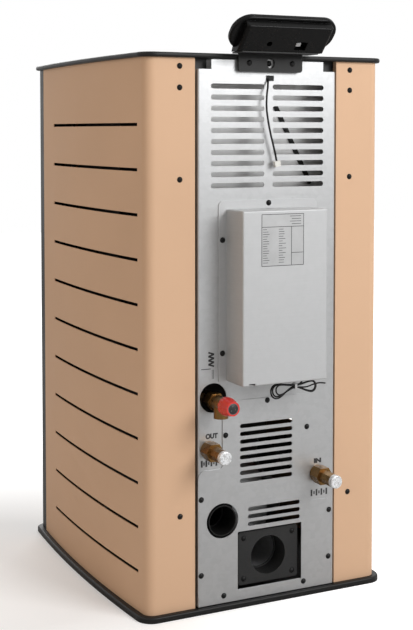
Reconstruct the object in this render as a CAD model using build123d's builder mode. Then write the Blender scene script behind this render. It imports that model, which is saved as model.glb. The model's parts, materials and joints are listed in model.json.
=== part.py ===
"""Pellet boiler stove, built as the pieces that come apart on a bench.

Sizes are in millimetres. The origin is on the floor under the middle of the cabinet.
+Z is up, the fire door faces -Y and the service side with the pipes faces +Y.
"""

import math
import os

from build123d import *

os.makedirs("parts", exist_ok=True)

# Cabinet
body_height = 1150.0
body_width = 548.0
body_depth = 660.0
side_bow = 16.0
corner_radius = 22.0
panel_sheet = 2.0
panel_lip = 14.0
base_height = 12.0
base_overhang = 12.0
base_pocket_depth = 9.0
base_rib = 24.0
top_height = 10.0
top_overhang = 9.0
plate_round = 4.0

# Side panels
flange_width = 107.0
side_slot_count = 11
side_slot_length = 487.0
side_slot_height = 6.5
side_slot_pitch = 91.1
side_slot_drop = 144.0
side_slot_inset = 38.0
side_screw_inset = 73.0
side_screw_drops = (27.0, 70.0, 255.0)
side_screw_low = 208.0

# Front
front_depth = 44.0
front_sheet = 3.0
front_post = 69.0
front_rail = 25.0
front_round = 12.0
lower_opening_top = 320.0
door_opening_height = 450.0
panel_gap = 2.0
front_panel_depth = 14.0
front_slot_count = 5
front_slot_pitch = 22.0
front_slot_length = 250.0
front_slot_height = 7.0

# Rear sheet
rear_step = 4.0
rear_sheet = 2.0
rear_fold = 12.0
rear_gap = 5.0
notch_width = 30.0
notch_height = 20.0
post_lap = 6.0
post_width = 56.0
post_leg = 20.0
post_sheet = 2.5
upper_slot_count = 10
upper_slot_length = 123.0
upper_slot_height = 10.4
upper_slot_pitch = 22.5
upper_slot_drop = 66.0
upper_slot_x = 71.5
cable_hole_width = 17.0
cable_hole_height = 11.0
cable_hole_x = -3.0
cable_hole_drop = 48.0
valve_hole_radius = 30.5
valve_hole_lift = 5.0
valve_x = 128.0
valve_z = 441.0
outlet_x = 139.0
outlet_z = 340.0
inlet_x = -121.0
inlet_z = 260.0

# Service cover over the lower rear opening
cover_left = 107.0
cover_right = -102.0
cover_low_left = 163.0
cover_low_right = -157.0
cover_top = 436.0
cover_bottom = 22.0
cover_left_step = 297.0
cover_right_step = 203.0
cover_round = 16.0
cover_inner_round = 7.0
cover_margin = 15.0
cover_slot_count = 8
cover_slot_length = 125.0
cover_slot_height = 9.0
cover_slot_pitch = 16.4
cover_slot_top = 381.0
cover_slot_x = 4.0
vent_slot_count = 3
vent_slot_pitch = 15.7
vent_slot_top = 204.0
vent_slot_x = -15.0
cover_screws = (
    (2.0, 430.0),
    (-94.0, 364.0),
    (100.0, 366.0),
    (156.0, 238.0),
    (-150.0, 177.0),
    (-149.0, 75.0),
    (156.0, 80.0),
    (104.0, 30.0),
    (-87.0, 30.0),
)

# Flue outlet and air intake
flue_x = -5.0
flue_z = 98.0
flue_bore_radius = 41.0
flue_socket_length = 46.0
flue_stop = 3.0
flue_wall = 3.0
flange_across = 142.0
flange_high = 112.0
flange_thick = 6.0
flange_round = 6.0
flange_recess = 2.0
flange_screw_inset = 13.0
window_gap = 5.5
window_round = 2.0
intake_x = 107.0
intake_z = 188.0
intake_radius = 30.0
intake_inner_radius = 27.0
intake_wall = 2.0
intake_gap = 4.5
intake_socket_length = 60.0

# Electronics box
box_width = 197.0
box_top = 833.0
box_bottom = 479.0
box_depth = 73.0
box_sheet = 1.5
box_round = 3.0
box_flange = 18.0
box_flange_sheet = 2.0
box_flange_round = 12.0
box_screw_rise = 11.0
box_screw_heights = (770.0, 537.0)
box_notch_x = 77.0
box_notch_width = 14.0
box_notch_height = 5.0
board_width = 150.0
board_height = 330.0
board_thick = 1.6
board_standoff = 8.0
terminal_width = 36.0
terminal_depth = 14.0
terminal_height = 34.0

# Screws with domed black heads
screw_head_radius = 6.0
screw_head_height = 3.6
screw_shank_radius = 2.0
screw_shank_length = 7.0
screw_clearance = 0.2

# Display on its bracket
bracket_x = 0.0
bracket_width = 150.0
bracket_sheet = 3.0
bracket_drop = 36.0
bracket_stand = 7.0
bracket_shelf_width = 176.0
bracket_shelf_depth = 44.0
bracket_round = 7.0
bracket_screw_span = 101.0
bracket_screw_drop = 18.0
bracket_spacer_radius = 7.0
bracket_oval_width = 17.0
bracket_oval_height = 21.0
display_x = -3.0
display_width = 240.0
display_length = 84.0
display_rim = 13.0
display_tilt = 46.0
display_round = 38.0
display_edge_round = 4.0
display_body_width = 198.0
display_top_y = 412.0
display_rise = 76.0
display_crease_y = 427.0
display_crease_rise = 49.0
display_crease_round = 3.0
display_heel_y = 388.0
display_heel_rise = 7.0
display_foot_y = 352.0
display_body_inset = 8.0
display_side_round = 7.0
display_socket_x = -38.0
display_socket_width = 26.0
display_socket_height = 21.0
display_socket_depth = 14.0
display_screw_x = 36.0
display_screw_rise = 14.0
display_screw_well = 6.0
display_screw_depth = 12.0
fascia_thick = 3.0
fascia_margin = 7.0
button_count = 4
button_radius = 6.0
button_height = 5.0
button_pitch = 26.0
button_gap = 0.3
button_proud = 1.6
button_travel = 1.2
button_row = -20.0

# Fire door
door_thick = 20.0
door_proud = 4.0
door_bow = 9.0
door_gap = 3.0
window_inset = 72.0
window_corner = 14.0
glass_thick = 4.0
glass_lap = 7.0
gasket_width = 10.0
gasket_gap = 0.4
hinge_pin_radius = 4.0
hinge_barrel_radius = 8.0
hinge_barrel_length = 26.0
hinge_clearance = 0.06
hinge_face_gap = 0.6
hinge_inset = 70.0
handle_inset = 27.0
handle_shaft_radius = 6.0
handle_length = 130.0
handle_width = 20.0
handle_thick = 12.0
handle_stand = 22.0
latch_length = 42.0
latch_width = 14.0
latch_thick = 5.0
latch_gap = 1.0

# Ash drawer
drawer_width = 270.0
drawer_length = 250.0
drawer_bottom = 190.0
drawer_height = 98.0
drawer_sheet = 2.0
drawer_front_margin = 22.0
drawer_front_thick = 4.0
drawer_gap = 3.0
drawer_handle_width = 140.0
drawer_handle_stand = 26.0

# Boiler
boiler_width = 380.0
boiler_depth = 270.0
boiler_front = -285.0
boiler_bottom = 165.0
boiler_headroom = 60.0
boiler_wall = 4.0
boiler_leg = 34.0
post_gap = 15.0
chamber_width = 290.0
chamber_depth = 215.0
chamber_bottom = 366.0
chamber_top = 774.0
ash_bay_gap = 10.0
ash_bay_bottom = 185.0
ash_bay_top = 316.0
collar_width = 14.0
collar_gasket_room = 8.0
fire_tube_radius = 22.0
fire_tube_count = 5
fire_tube_pitch = 54.0
fire_tube_y = -170.0
smoke_box_height = 50.0
smoke_box_drop = 30.0
downcomer_width = 180.0
downcomer_depth = 30.0
brick_thick = 15.0
pot_y = -165.0
pot_width = 110.0
pot_height = 70.0
pot_wall = 6.0
pot_draft = 10.0
pot_holes = 4

igniter_radius = 5.0
igniter_length = 62.0
igniter_holder_radius = 8.0
igniter_holder_length = 18.0
igniter_drop = 3.0

# Hopper
hopper_width = 330.0
hopper_front = 26.0
hopper_rear = 278.0
hopper_sheet = 2.0
hopper_rim = 12.0
hopper_shoulder = 850.0
hopper_outlet = 90.0
hopper_outlet_y = 150.0
hopper_outlet_z = 640.0
brace_width = 10.0
brace_sheet = 3.0
brace_top_x = -47.0
brace_top_drop = 95.0
brace_low_x = -131.0
brace_low_rise = 34.0

# Filler lid
lid_width = 300.0
lid_front = 40.0
lid_axis_y = 262.0
lid_thick = 8.0
lid_gap = 1.5
lid_pin_radius = 2.0
lid_pin_reach = 9.0
lid_bore_depth = 16.0
lid_grip_width = 90.0
lid_grip_depth = 5.0
lid_grip_reach = 22.0

# Auger
auger_angle = 38.0
auger_low_y = 215.0
auger_low_z = 500.0
auger_tube_radius = 36.0
auger_tube_wall = 2.0
auger_tube_length = 378.0
auger_plate = 4.0
auger_shaft_radius = 8.0
auger_shaft_length = 372.0
auger_shaft_entry = 20.0
flight_radius = 31.0
flight_start = 16.0
flight_pitch = 60.0
flight_thick = 3.0
flight_turns = 5.5
motor_length = 88.0
motor_side = 70.0
shaft_gap = 0.05

# Smoke fan
fan_y = 150.0
fan_z = 166.0
fan_radius = 96.0
fan_width = 84.0
fan_sheet = 2.0
fan_inlet_radius = 40.0
impeller_radius = 74.0
impeller_width = 52.0
impeller_disc = 2.5
impeller_hub_radius = 14.0
impeller_blades = 10
impeller_blade = 2.5
impeller_blade_inner = 34.0
fan_shaft_radius = 5.0
fan_shaft_length = 40.0
fan_motor_radius = 42.0
fan_motor_length = 68.0
duct_width = 34.0
duct_bottom = 116.0
duct_top = 216.0
duct_end_y = 196.0

# Water side
pipe_radius = 11.0
pipe_wall = 2.0
pipe_end_y = 318.0
pump_radius = 44.0
pump_y = 150.0
pump_length = 100.0
vessel_radius = 105.0
vessel_thick = 78.0
vessel_x = -178.0
vessel_y = 100.0
vessel_z = 440.0
fitting_collar_radius = 18.0
fitting_collar = 4.0
fitting_hex = 35.0
fitting_hex_length = 28.0
stub_hex = 27.0
stub_length = 38.0
stub_bore_radius = 9.0
cap_radius = 14.0
cap_length = 10.0
cap_plug_radius = 8.5
cap_plug_length = 12.0
valve_rear_y = 300.0
valve_hex = 33.0
valve_hex_length = 20.0
valve_body_radius = 15.0
valve_body_end = 388.0
valve_neck_radius = 11.0
valve_neck_end = 396.0
valve_drain_y = 370.0
valve_drain_radius = 15.0
valve_drain_bottom = 412.0
valve_cap_radius = 19.0
valve_cap_end_radius = 14.5
valve_cap_start = 392.0
valve_cap_end = 424.0
valve_cap_insert = 10.5
valve_cap_flutes = 12

# Leads
lead_diameter = 4.0
connector_width = 13.0
connector_thick = 7.0
connector_length = 12.0
hank_diameter = 3.2
hank_spacing = 3.8
hank_x = -30.0
hank_y = 390.0
hank_z = 467.5
hank_feed_x = -53.0
tie_width = 5.0
tie_sheet = 1.2
tie_clearance = 0.3
lead_hole_clearance = 1.0

# Places that follow from the sizes above
rear_y = body_depth / 2
front_y = -body_depth / 2
half_width = body_width / 2
casing_bottom = base_height
casing_top = body_height - top_height
flange_inner = half_width - flange_width
side_screw_x = half_width - side_screw_inset
rear_face = rear_y + rear_step
rear_half_width = flange_inner - rear_gap
post_plane = rear_y - panel_lip - rear_gap
front_back = front_y + front_depth
opening_half = half_width - front_post
lower_opening_bottom = casing_bottom + front_rail
door_opening_bottom = lower_opening_top + front_rail
door_opening_top = door_opening_bottom + door_opening_height
upper_opening_bottom = door_opening_top + front_rail
upper_opening_top = casing_top - front_rail
cover_face = rear_face + panel_sheet
box_back = rear_face + box_flange_sheet
box_front = box_back + box_depth
box_screw_x = (box_width + box_flange) / 2
bracket_back = rear_face + bracket_stand
bracket_face = bracket_back + bracket_sheet
boiler_back = boiler_front + boiler_depth
chamber_back = boiler_front + chamber_depth
hole_radius = screw_shank_radius + screw_clearance
side_slot_top = body_height - side_slot_drop
side_screw_heights = [body_height - drop for drop in side_screw_drops] + [side_screw_low]
upper_slot_top = body_height - upper_slot_drop
cable_hole_z = body_height - cable_hole_drop
box_screw_top = box_top + box_screw_rise
bracket_bottom = body_height - bracket_drop
bracket_screw_z = body_height - bracket_screw_drop
boiler_top = casing_top - boiler_headroom
smoke_box_top = boiler_top - smoke_box_drop
smoke_box_bottom = smoke_box_top - smoke_box_height
brace_top_z = casing_top - brace_top_drop
brace_low_z = hopper_shoulder + brace_low_rise
flue_stop_radius = flue_bore_radius - flue_stop


def keep(piece, label):
    """Label a finished piece and write it as its own file."""
    piece.part.label = label
    export_step(piece.part, f"parts/{label}.step")


def plan_outline(grow):
    """Cabinet seen from above: bowed sides and round corners, grown or shrunk all round."""
    half = half_width + grow
    rear = rear_y + grow
    front = front_y - grow
    bow = half + side_bow
    with BuildSketch() as outline:
        with BuildLine():
            Line((-half, front), (half, front))
            ThreePointArc((half, front), (bow, 0), (half, rear))
            Line((half, rear), (-half, rear))
            ThreePointArc((-half, rear), (-bow, 0), (-half, front))
        make_face()
        fillet(outline.vertices().group_by(Axis.Y)[-1], corner_radius + grow)
        fillet(outline.vertices().group_by(Axis.Y)[0], front_round + grow)
    return outline.sketch


def slot_column(centre_x, top_z, count, pitch, length, height):
    """Column of long round-ended slots, top one first, in the X and Z of an upright plane."""
    with BuildSketch() as column:
        for row in range(count):
            with Locations((centre_x, top_z - pitch * row)):
                SlotOverall(length, height)
    return column.sketch


def upright(y):
    """Upright plane whose material grows from y towards the rear; negative amounts go forward."""
    return Plane(origin=(0, y, 0), x_dir=(-1, 0, 0), z_dir=(0, 1, 0))


def facing(y):
    """Upright plane in plain X and Z whose material grows from y towards the front."""
    return Plane.XZ.offset(-y)


def cover_outline(inset):
    """Stepped outline of the service cover, or of the opening that it covers by the inset."""
    steps = [
        (cover_left, cover_top, cover_round),
        (cover_left, cover_left_step, cover_inner_round),
        (cover_low_left, cover_left_step, cover_round),
        (cover_low_left, cover_bottom, cover_round),
        (cover_low_right, cover_bottom, cover_round),
        (cover_low_right, cover_right_step, cover_round),
        (cover_right, cover_right_step, cover_inner_round),
        (cover_right, cover_top, cover_round),
    ]
    with BuildSketch() as outline:
        with BuildLine():
            FilletPolyline(
                *[(x, z) for x, z, _ in steps],
                radius=[radius for _, _, radius in steps],
                close=True,
            )
        make_face()
        if inset:
            offset(amount=-inset)
    return outline.sketch


def bend_radii(points, share=0.45):
    """Largest bend at each corner of a route that its two runs allow."""
    radii = []
    for before, corner, after in zip(points, points[1:], points[2:]):
        run_in = Vector(*corner) - Vector(*before)
        run_out = Vector(*after) - Vector(*corner)
        turn = math.radians(run_in.get_angle(run_out))
        shorter = min(run_in.length, run_out.length)
        radii.append(share * shorter / math.tan(turn / 2))
    return radii


def cord(points, diameter, name):
    """Round cord along straight runs and tangent bends; prints its bends and its volume."""
    radii = bend_radii(points)
    with BuildPart() as solid:
        with BuildLine():
            route = FilletPolyline(*points, radius=radii)
        with BuildSketch(Plane(origin=route @ 0, z_dir=route % 0)):
            Circle(diameter / 2)
        sweep(path=route)
    section = math.pi * diameter**2 / 4
    share = solid.part.volume / (section * route.length)
    print(name, "length", round(route.length, 1), "tightest bend", round(min(radii), 1))
    print(name, "bends", [round(radius, 1) for radius in radii])
    print(name, "volume over section times length", round(share, 4))
    return solid, route


def least_self_gap(line, diameter, step=1.2):
    """Smallest clear gap between stretches of a cord that aren't neighbours along it."""
    count = int(line.length / step)
    places = [line @ (index / count) for index in range(count + 1)]
    skip = int(4 * diameter / step)
    gap = line.length
    for index, place in enumerate(places):
        for other in places[index + skip :]:
            gap = min(gap, (place - other).length)
    return gap - diameter


# Base plate: a pressed tray with ribs that stand on the floor
with BuildPart() as base_plate:
    pocket_width = half_width - 2 * base_rib
    pocket_length = body_depth / 2 - 2 * base_rib
    with BuildSketch():
        add(plan_outline(base_overhang))
    extrude(amount=base_height)
    fillet(base_plate.faces().sort_by(Axis.Z)[-1].outer_wire().edges(), plate_round)
    with BuildSketch():
        with GridLocations(pocket_width + base_rib, pocket_length + base_rib, 2, 2):
            Rectangle(pocket_width, pocket_length)
    extrude(amount=base_pocket_depth, mode=Mode.SUBTRACT)
keep(base_plate, "base_plate")

# Top plate with the filler opening
lid_axis_z = body_height - lid_thick / 2
opening_width = lid_width + 2 * lid_gap
opening_rear = lid_axis_y + lid_thick / 2 + lid_gap
opening_front = lid_front - lid_gap
lid_pin_outer = opening_width / 2 + lid_pin_reach
with BuildPart() as top_plate:
    with BuildSketch(Plane.XY.offset(casing_top)):
        add(plan_outline(top_overhang))
    extrude(amount=top_height)
    fillet(top_plate.faces().sort_by(Axis.Z)[-1].outer_wire().edges(), plate_round)
    fillet(top_plate.faces().sort_by(Axis.Z)[0].outer_wire().edges(), plate_round)
    with BuildSketch(Plane.XY.offset(casing_top)):
        with Locations((0, (opening_front + opening_rear) / 2)):
            Rectangle(opening_width, opening_rear - opening_front)
    extrude(amount=top_height, mode=Mode.SUBTRACT)
    with BuildSketch(Plane.YZ.offset(-lid_pin_outer)):
        with Locations((lid_axis_y, lid_axis_z)):
            Circle(lid_pin_radius)
    extrude(amount=2 * lid_pin_outer, mode=Mode.SUBTRACT)
keep(top_plate, "top_plate")

# Filler lid, round about its own hinge line so that it turns inside the opening
with BuildPart() as hopper_lid:
    with BuildSketch(Plane.YZ.offset(-lid_width / 2)):
        with Locations(((lid_front + lid_axis_y) / 2, lid_axis_z)):
            Rectangle(lid_axis_y - lid_front, lid_thick)
        with Locations((lid_axis_y, lid_axis_z)):
            Circle(lid_thick / 2)
    extrude(amount=lid_width)
    with BuildSketch(Plane.XY.offset(body_height)):
        with Locations((0, lid_front + lid_grip_reach / 2)):
            Rectangle(lid_grip_width, lid_grip_reach)
    extrude(amount=-lid_grip_depth, mode=Mode.SUBTRACT)
    for side in (-1, 1):
        with BuildSketch(Plane.YZ.offset(side * (lid_width / 2 - lid_bore_depth))):
            with Locations((lid_axis_y, lid_axis_z)):
                Circle(lid_pin_radius + hinge_clearance)
        extrude(amount=side * lid_bore_depth, mode=Mode.SUBTRACT)
keep(hopper_lid, "hopper_lid")

with BuildPart() as lid_hinge_pins:
    lid_pin_inner = lid_width / 2 - lid_bore_depth + 1
    for side in (-1, 1):
        with BuildSketch(Plane.YZ.offset(side * lid_pin_inner)):
            with Locations((lid_axis_y, lid_axis_z)):
                Circle(lid_pin_radius)
        extrude(amount=side * (lid_pin_outer - lid_pin_inner))
keep(lid_hinge_pins, "lid_hinge_pins")


def side_panel(side):
    """Bowed side with its round rear corner, rear flange and cooling slots."""
    reach = half_width + 2 * side_bow
    slot_middle_y = rear_y - side_slot_inset - side_slot_length / 2
    with BuildPart() as panel:
        with BuildSketch(Plane.XY.offset(casing_bottom)):
            add(plan_outline(0))
            add(plan_outline(-panel_sheet), mode=Mode.SUBTRACT)
            with Locations((side * (flange_inner + reach) / 2, (front_back + rear_y) / 2)):
                Rectangle(reach - flange_inner, rear_y - front_back, mode=Mode.INTERSECT)
            with Locations((side * (flange_inner + panel_sheet / 2), rear_y - panel_lip / 2)):
                Rectangle(panel_sheet, panel_lip)
        extrude(amount=casing_top - casing_bottom)
        with BuildSketch(Plane.YZ.offset(side * (half_width - side_bow))):
            for row in range(side_slot_count):
                with Locations((slot_middle_y, side_slot_top - row * side_slot_pitch)):
                    Rectangle(side_slot_length, side_slot_height)
        extrude(amount=side * 3 * side_bow, mode=Mode.SUBTRACT)
        with BuildSketch(facing(rear_y)):
            with Locations(*[(side * side_screw_x, height) for height in side_screw_heights]):
                Circle(hole_radius)
        extrude(amount=panel_sheet, mode=Mode.SUBTRACT)
    return panel


side_panel_right = side_panel(1)
keep(side_panel_right, "side_panel_right")
side_panel_left = side_panel(-1)
keep(side_panel_left, "side_panel_left")

# Folded steel posts behind the rear flanges and the front frame
rear_post_inner = rear_half_width - post_lap
front_post_inner = boiler_width / 2 + post_gap
with BuildPart() as frame_posts:
    for side in (-1, 1):
        with BuildSketch(Plane.XY.offset(casing_bottom)):
            with Locations((side * (rear_post_inner + post_width / 2), post_plane - post_sheet / 2)):
                Rectangle(post_width, post_sheet)
            with Locations((side * (rear_post_inner + post_sheet / 2), post_plane - post_leg / 2)):
                Rectangle(post_sheet, post_leg)
            with Locations((side * (front_post_inner + post_leg / 2), front_back + post_sheet / 2)):
                Rectangle(post_leg, post_sheet)
            with Locations((side * (front_post_inner + post_sheet / 2), front_back + post_leg / 2)):
                Rectangle(post_sheet, post_leg)
        extrude(amount=casing_top - casing_bottom)
    with BuildSketch(facing(post_plane)):
        for side in (-1, 1):
            tab_middle = side * (rear_half_width - notch_width / 2)
            with Locations((tab_middle, casing_top - notch_height)):
                Rectangle(notch_width, 2 * notch_height)
    extrude(amount=post_sheet)
    with BuildSketch(facing(post_plane)):
        for side in (-1, 1):
            with Locations(*[(side * side_screw_x, height) for height in side_screw_heights]):
                Circle(hole_radius)
    extrude(amount=post_sheet, mode=Mode.SUBTRACT)
keep(frame_posts, "frame_posts")

# Galvanised rear sheet: a shallow tray that stands a little proud of the side flanges
rear_bottom = casing_bottom + panel_gap
rear_top = casing_top - panel_gap
box_screws = [(0, box_screw_top)]
box_screws += [(side * box_screw_x, height) for height in box_screw_heights for side in (-1, 1)]
bracket_screws = [(bracket_x + side * bracket_screw_span / 2, bracket_screw_z) for side in (-1, 1)]
with BuildPart() as back_panel:
    with BuildSketch(Plane.XY.offset(rear_bottom)) as tray:
        with Locations((0, rear_face - rear_fold / 2)):
            Rectangle(2 * rear_half_width, rear_fold)
        fillet(tray.vertices().group_by(Axis.Y)[-1], rear_sheet * 1.5)
        with Locations((0, rear_face - (rear_fold + rear_sheet) / 2)):
            Rectangle(2 * (rear_half_width - rear_sheet), rear_fold - rear_sheet, mode=Mode.SUBTRACT)
    extrude(amount=rear_top - rear_bottom)
    with BuildSketch(facing(rear_face)):
        for side in (-1, 1):
            add(
                slot_column(
                    side * upper_slot_x,
                    upper_slot_top,
                    upper_slot_count,
                    upper_slot_pitch,
                    upper_slot_length,
                    upper_slot_height,
                )
            )
            with Locations((side * (rear_half_width - notch_width / 2), rear_top - notch_height / 2)):
                Rectangle(notch_width, notch_height)
        with Locations((cable_hole_x, cable_hole_z)):
            Rectangle(cable_hole_width, cable_hole_height)
        with Locations((valve_x, valve_z + valve_hole_lift)):
            Circle(valve_hole_radius)
        with Locations((outlet_x, outlet_z), (inlet_x, inlet_z)):
            Circle(pipe_radius + pipe_wall)
        add(cover_outline(cover_margin))
        with Locations(*cover_screws, *box_screws, *bracket_screws, (bracket_x, bracket_screw_z)):
            Circle(hole_radius)
    extrude(amount=rear_fold, mode=Mode.SUBTRACT)
keep(back_panel, "back_panel")

# Service cover with its two grilles, the intake hole and the flue window
with BuildPart() as service_cover:
    with BuildSketch(facing(cover_face)):
        add(cover_outline(0))
        add(
            slot_column(
                cover_slot_x,
                cover_slot_top,
                cover_slot_count,
                cover_slot_pitch,
                cover_slot_length,
                cover_slot_height,
            ),
            mode=Mode.SUBTRACT,
        )
        add(
            slot_column(
                vent_slot_x,
                vent_slot_top,
                vent_slot_count,
                vent_slot_pitch,
                cover_slot_length,
                cover_slot_height,
            ),
            mode=Mode.SUBTRACT,
        )
        with Locations((intake_x, intake_z)):
            Circle(intake_radius + intake_wall + intake_gap, mode=Mode.SUBTRACT)
        with Locations((flue_x, flue_z)):
            RectangleRounded(
                flange_across + 2 * window_gap,
                flange_high + 2 * window_gap,
                window_round,
                mode=Mode.SUBTRACT,
            )
        with Locations(*cover_screws):
            Circle(hole_radius, mode=Mode.SUBTRACT)
    extrude(amount=panel_sheet)
keep(service_cover, "service_cover")

# Cast flue flange with the socket that the smoke pipe pushes into, up to a stop
flange_face = rear_y - flange_recess
flange_screw_across = flange_across - 2 * flange_screw_inset
flange_screw_high = flange_high - 2 * flange_screw_inset
with BuildPart() as flue_flange:
    with BuildSketch(facing(flange_face)):
        with Locations((flue_x, flue_z)):
            RectangleRounded(flange_across, flange_high, flange_round)
    extrude(amount=flange_thick)
    with BuildSketch(facing(flange_face)):
        with Locations((flue_x, flue_z)):
            Circle(flue_bore_radius + flue_wall)
    extrude(amount=flue_socket_length)
    with BuildSketch(facing(flange_face)):
        with Locations((flue_x, flue_z)):
            Circle(flue_bore_radius)
    extrude(amount=flue_socket_length - flue_stop, mode=Mode.SUBTRACT)
    with BuildSketch(facing(flange_face)):
        with Locations((flue_x, flue_z)):
            Circle(flue_stop_radius)
    extrude(amount=flue_socket_length, mode=Mode.SUBTRACT)
    with BuildSketch(facing(flange_face)):
        with Locations((flue_x, flue_z)):
            with GridLocations(flange_screw_across, flange_screw_high, 2, 2):
                Circle(hole_radius)
    extrude(amount=flange_thick, mode=Mode.SUBTRACT)
keep(flue_flange, "flue_flange")

# Air intake: a black socket outside, a narrower pipe to the boiler behind it
intake_mouth = cover_face
intake_step = intake_mouth - intake_socket_length
with BuildPart() as air_intake_pipe:
    for start, length, radius in (
        (intake_mouth, intake_socket_length, intake_radius + intake_wall),
        (intake_step, intake_step - boiler_back, intake_inner_radius + intake_wall),
    ):
        with BuildSketch(facing(start)):
            with Locations((intake_x, intake_z)):
                Circle(radius)
        extrude(amount=length)
    for start, length, radius in (
        (intake_mouth, intake_socket_length - intake_wall, intake_radius),
        (intake_step + intake_wall, intake_step + intake_wall - boiler_back, intake_inner_radius),
    ):
        with BuildSketch(facing(start)):
            with Locations((intake_x, intake_z)):
                Circle(radius)
        extrude(amount=length, mode=Mode.SUBTRACT)
keep(air_intake_pipe, "air_intake_pipe")

# Electronics: backplate, board and folded cover
with BuildPart() as electronics_backplate:
    plate_width = box_width + 2 * box_flange
    plate_top = box_top + box_flange
    with BuildSketch(facing(box_back)) as plate:
        with Locations((0, (box_bottom + plate_top) / 2)):
            Rectangle(plate_width, plate_top - box_bottom)
        fillet(plate.vertices().group_by(Axis.Y)[-1], box_flange_round)
        with Locations(*box_screws):
            Circle(hole_radius, mode=Mode.SUBTRACT)
    extrude(amount=box_flange_sheet)
keep(electronics_backplate, "electronics_backplate")

box_height = box_top - box_bottom
box_middle = (box_top + box_bottom) / 2
with BuildPart() as electronics_box:
    with BuildSketch(upright(box_back)):
        with Locations((0, box_middle)):
            RectangleRounded(box_width, box_height, box_round)
    extrude(amount=box_depth)
    fillet(electronics_box.faces().sort_by(Axis.Y)[-1].edges(), box_round)
    with BuildSketch(upright(box_back)):
        with Locations((0, box_middle)):
            Rectangle(box_width - 2 * box_sheet, box_height - 2 * box_sheet)
    extrude(amount=box_depth - box_sheet, mode=Mode.SUBTRACT)
    with BuildSketch(facing(box_front)):
        with Locations((box_notch_x, box_bottom)):
            Rectangle(box_notch_width, 2 * box_notch_height)
    extrude(amount=4 * box_sheet, mode=Mode.SUBTRACT)
    with BuildSketch(Plane.XY.offset(box_bottom)):
        with Locations((hank_feed_x, hank_y)):
            Circle(hank_diameter / 2 + lead_hole_clearance)
    extrude(amount=box_sheet, mode=Mode.SUBTRACT)
keep(electronics_box, "electronics_box")

board_face = box_back + board_standoff + board_thick
with BuildPart() as control_board:
    with BuildSketch(facing(board_face)):
        with Locations((0, box_middle)):
            Rectangle(board_width, board_height)
    extrude(amount=board_thick)
    with BuildSketch(facing(board_face - board_thick)):
        with Locations((0, box_middle)):
            with GridLocations(board_width - 14, board_height - 14, 2, 2):
                Circle(3)
    extrude(amount=board_standoff)
    for x, z, width, height, depth in (
        (-42, 90, 46, 40, 34),
        (28, 92, 60, 16, 14),
        (28, -96, 70, 12, 12),
        (-45, -20, 28, 20, 18),
        (-45, -60, 28, 20, 18),
        (22, 0, 34, 34, 6),
    ):
        with BuildSketch(upright(board_face)):
            with Locations((-x, box_middle + z)):
                Rectangle(width, height)
        extrude(amount=depth)
    with BuildSketch(upright(board_face)):
        with Locations((-hank_feed_x, box_bottom + terminal_height)):
            Rectangle(terminal_width, terminal_width / 2)
    extrude(amount=terminal_depth)
keep(control_board, "control_board")


def domed_screw(shank_length):
    """Black domed screw with its head on the origin plane and its shank pointing forwards."""
    dome_radius = (screw_head_radius**2 + screw_head_height**2) / (2 * screw_head_height)
    with BuildPart() as screw:
        with BuildSketch():
            with BuildLine():
                Polyline(
                    (0, screw_head_height),
                    (0, -shank_length),
                    (screw_shank_radius, -shank_length),
                    (screw_shank_radius, 0),
                    (screw_head_radius, 0),
                )
                RadiusArc((screw_head_radius, 0), (0, screw_head_height), -dome_radius)
            make_face()
        revolve(axis=Axis.Y)
    return screw.part


# Screws of the two rear flanges, through the posts
flange_screw = domed_screw(rear_y - post_plane + post_sheet)
with BuildPart() as side_panel_screws:
    for side in (-1, 1):
        with Locations(*[(side * side_screw_x, rear_y, height) for height in side_screw_heights]):
            add(flange_screw)
keep(side_panel_screws, "side_panel_screws")

# Screws of the service cover, the electronics box, the display bracket and the flue flange
sheet_screw = domed_screw(screw_shank_length)
bracket_screw = domed_screw(bracket_face - rear_face + rear_sheet)
with BuildPart() as rear_screws:
    with Locations(*[(x, cover_face, z) for x, z in cover_screws]):
        add(sheet_screw)
    with Locations(*[(x, box_back, z) for x, z in box_screws]):
        add(sheet_screw)
    with Locations(*[(x, bracket_face, z) for x, z in bracket_screws]):
        add(bracket_screw)
    with Locations((bracket_x, rear_face, bracket_screw_z)):
        add(sheet_screw)
    for spot in GridLocations(flange_screw_across, flange_screw_high, 2, 2):
        with Locations((flue_x + spot.position.X, flange_face, flue_z + spot.position.Y)):
            add(sheet_screw)
keep(rear_screws, "rear_screws")

# Display bracket: upright plate on two spacers with a shelf at its top
with BuildPart() as display_bracket:
    with BuildSketch(facing(bracket_face)) as bracket_outline:
        with Locations((bracket_x, (bracket_bottom + body_height) / 2)):
            Rectangle(bracket_width, body_height - bracket_bottom)
        fillet(bracket_outline.vertices().group_by(Axis.Y)[0], bracket_round)
    extrude(amount=bracket_sheet)
    with BuildSketch(Plane.XY.offset(body_height)):
        with Locations((bracket_x, bracket_back + bracket_shelf_depth / 2)):
            Rectangle(bracket_shelf_width, bracket_shelf_depth)
    extrude(amount=bracket_sheet)
    with BuildSketch(facing(bracket_back)):
        with Locations(*bracket_screws):
            Circle(bracket_spacer_radius)
    extrude(amount=bracket_stand)
    with BuildSketch(facing(bracket_face)):
        with Locations(*bracket_screws):
            Circle(hole_radius)
        with Locations((bracket_x, bracket_screw_z)):
            SlotOverall(bracket_oval_height, bracket_oval_width, rotation=90)
    extrude(amount=bracket_sheet + bracket_stand, mode=Mode.SUBTRACT)
keep(display_bracket, "display_bracket")

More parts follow.
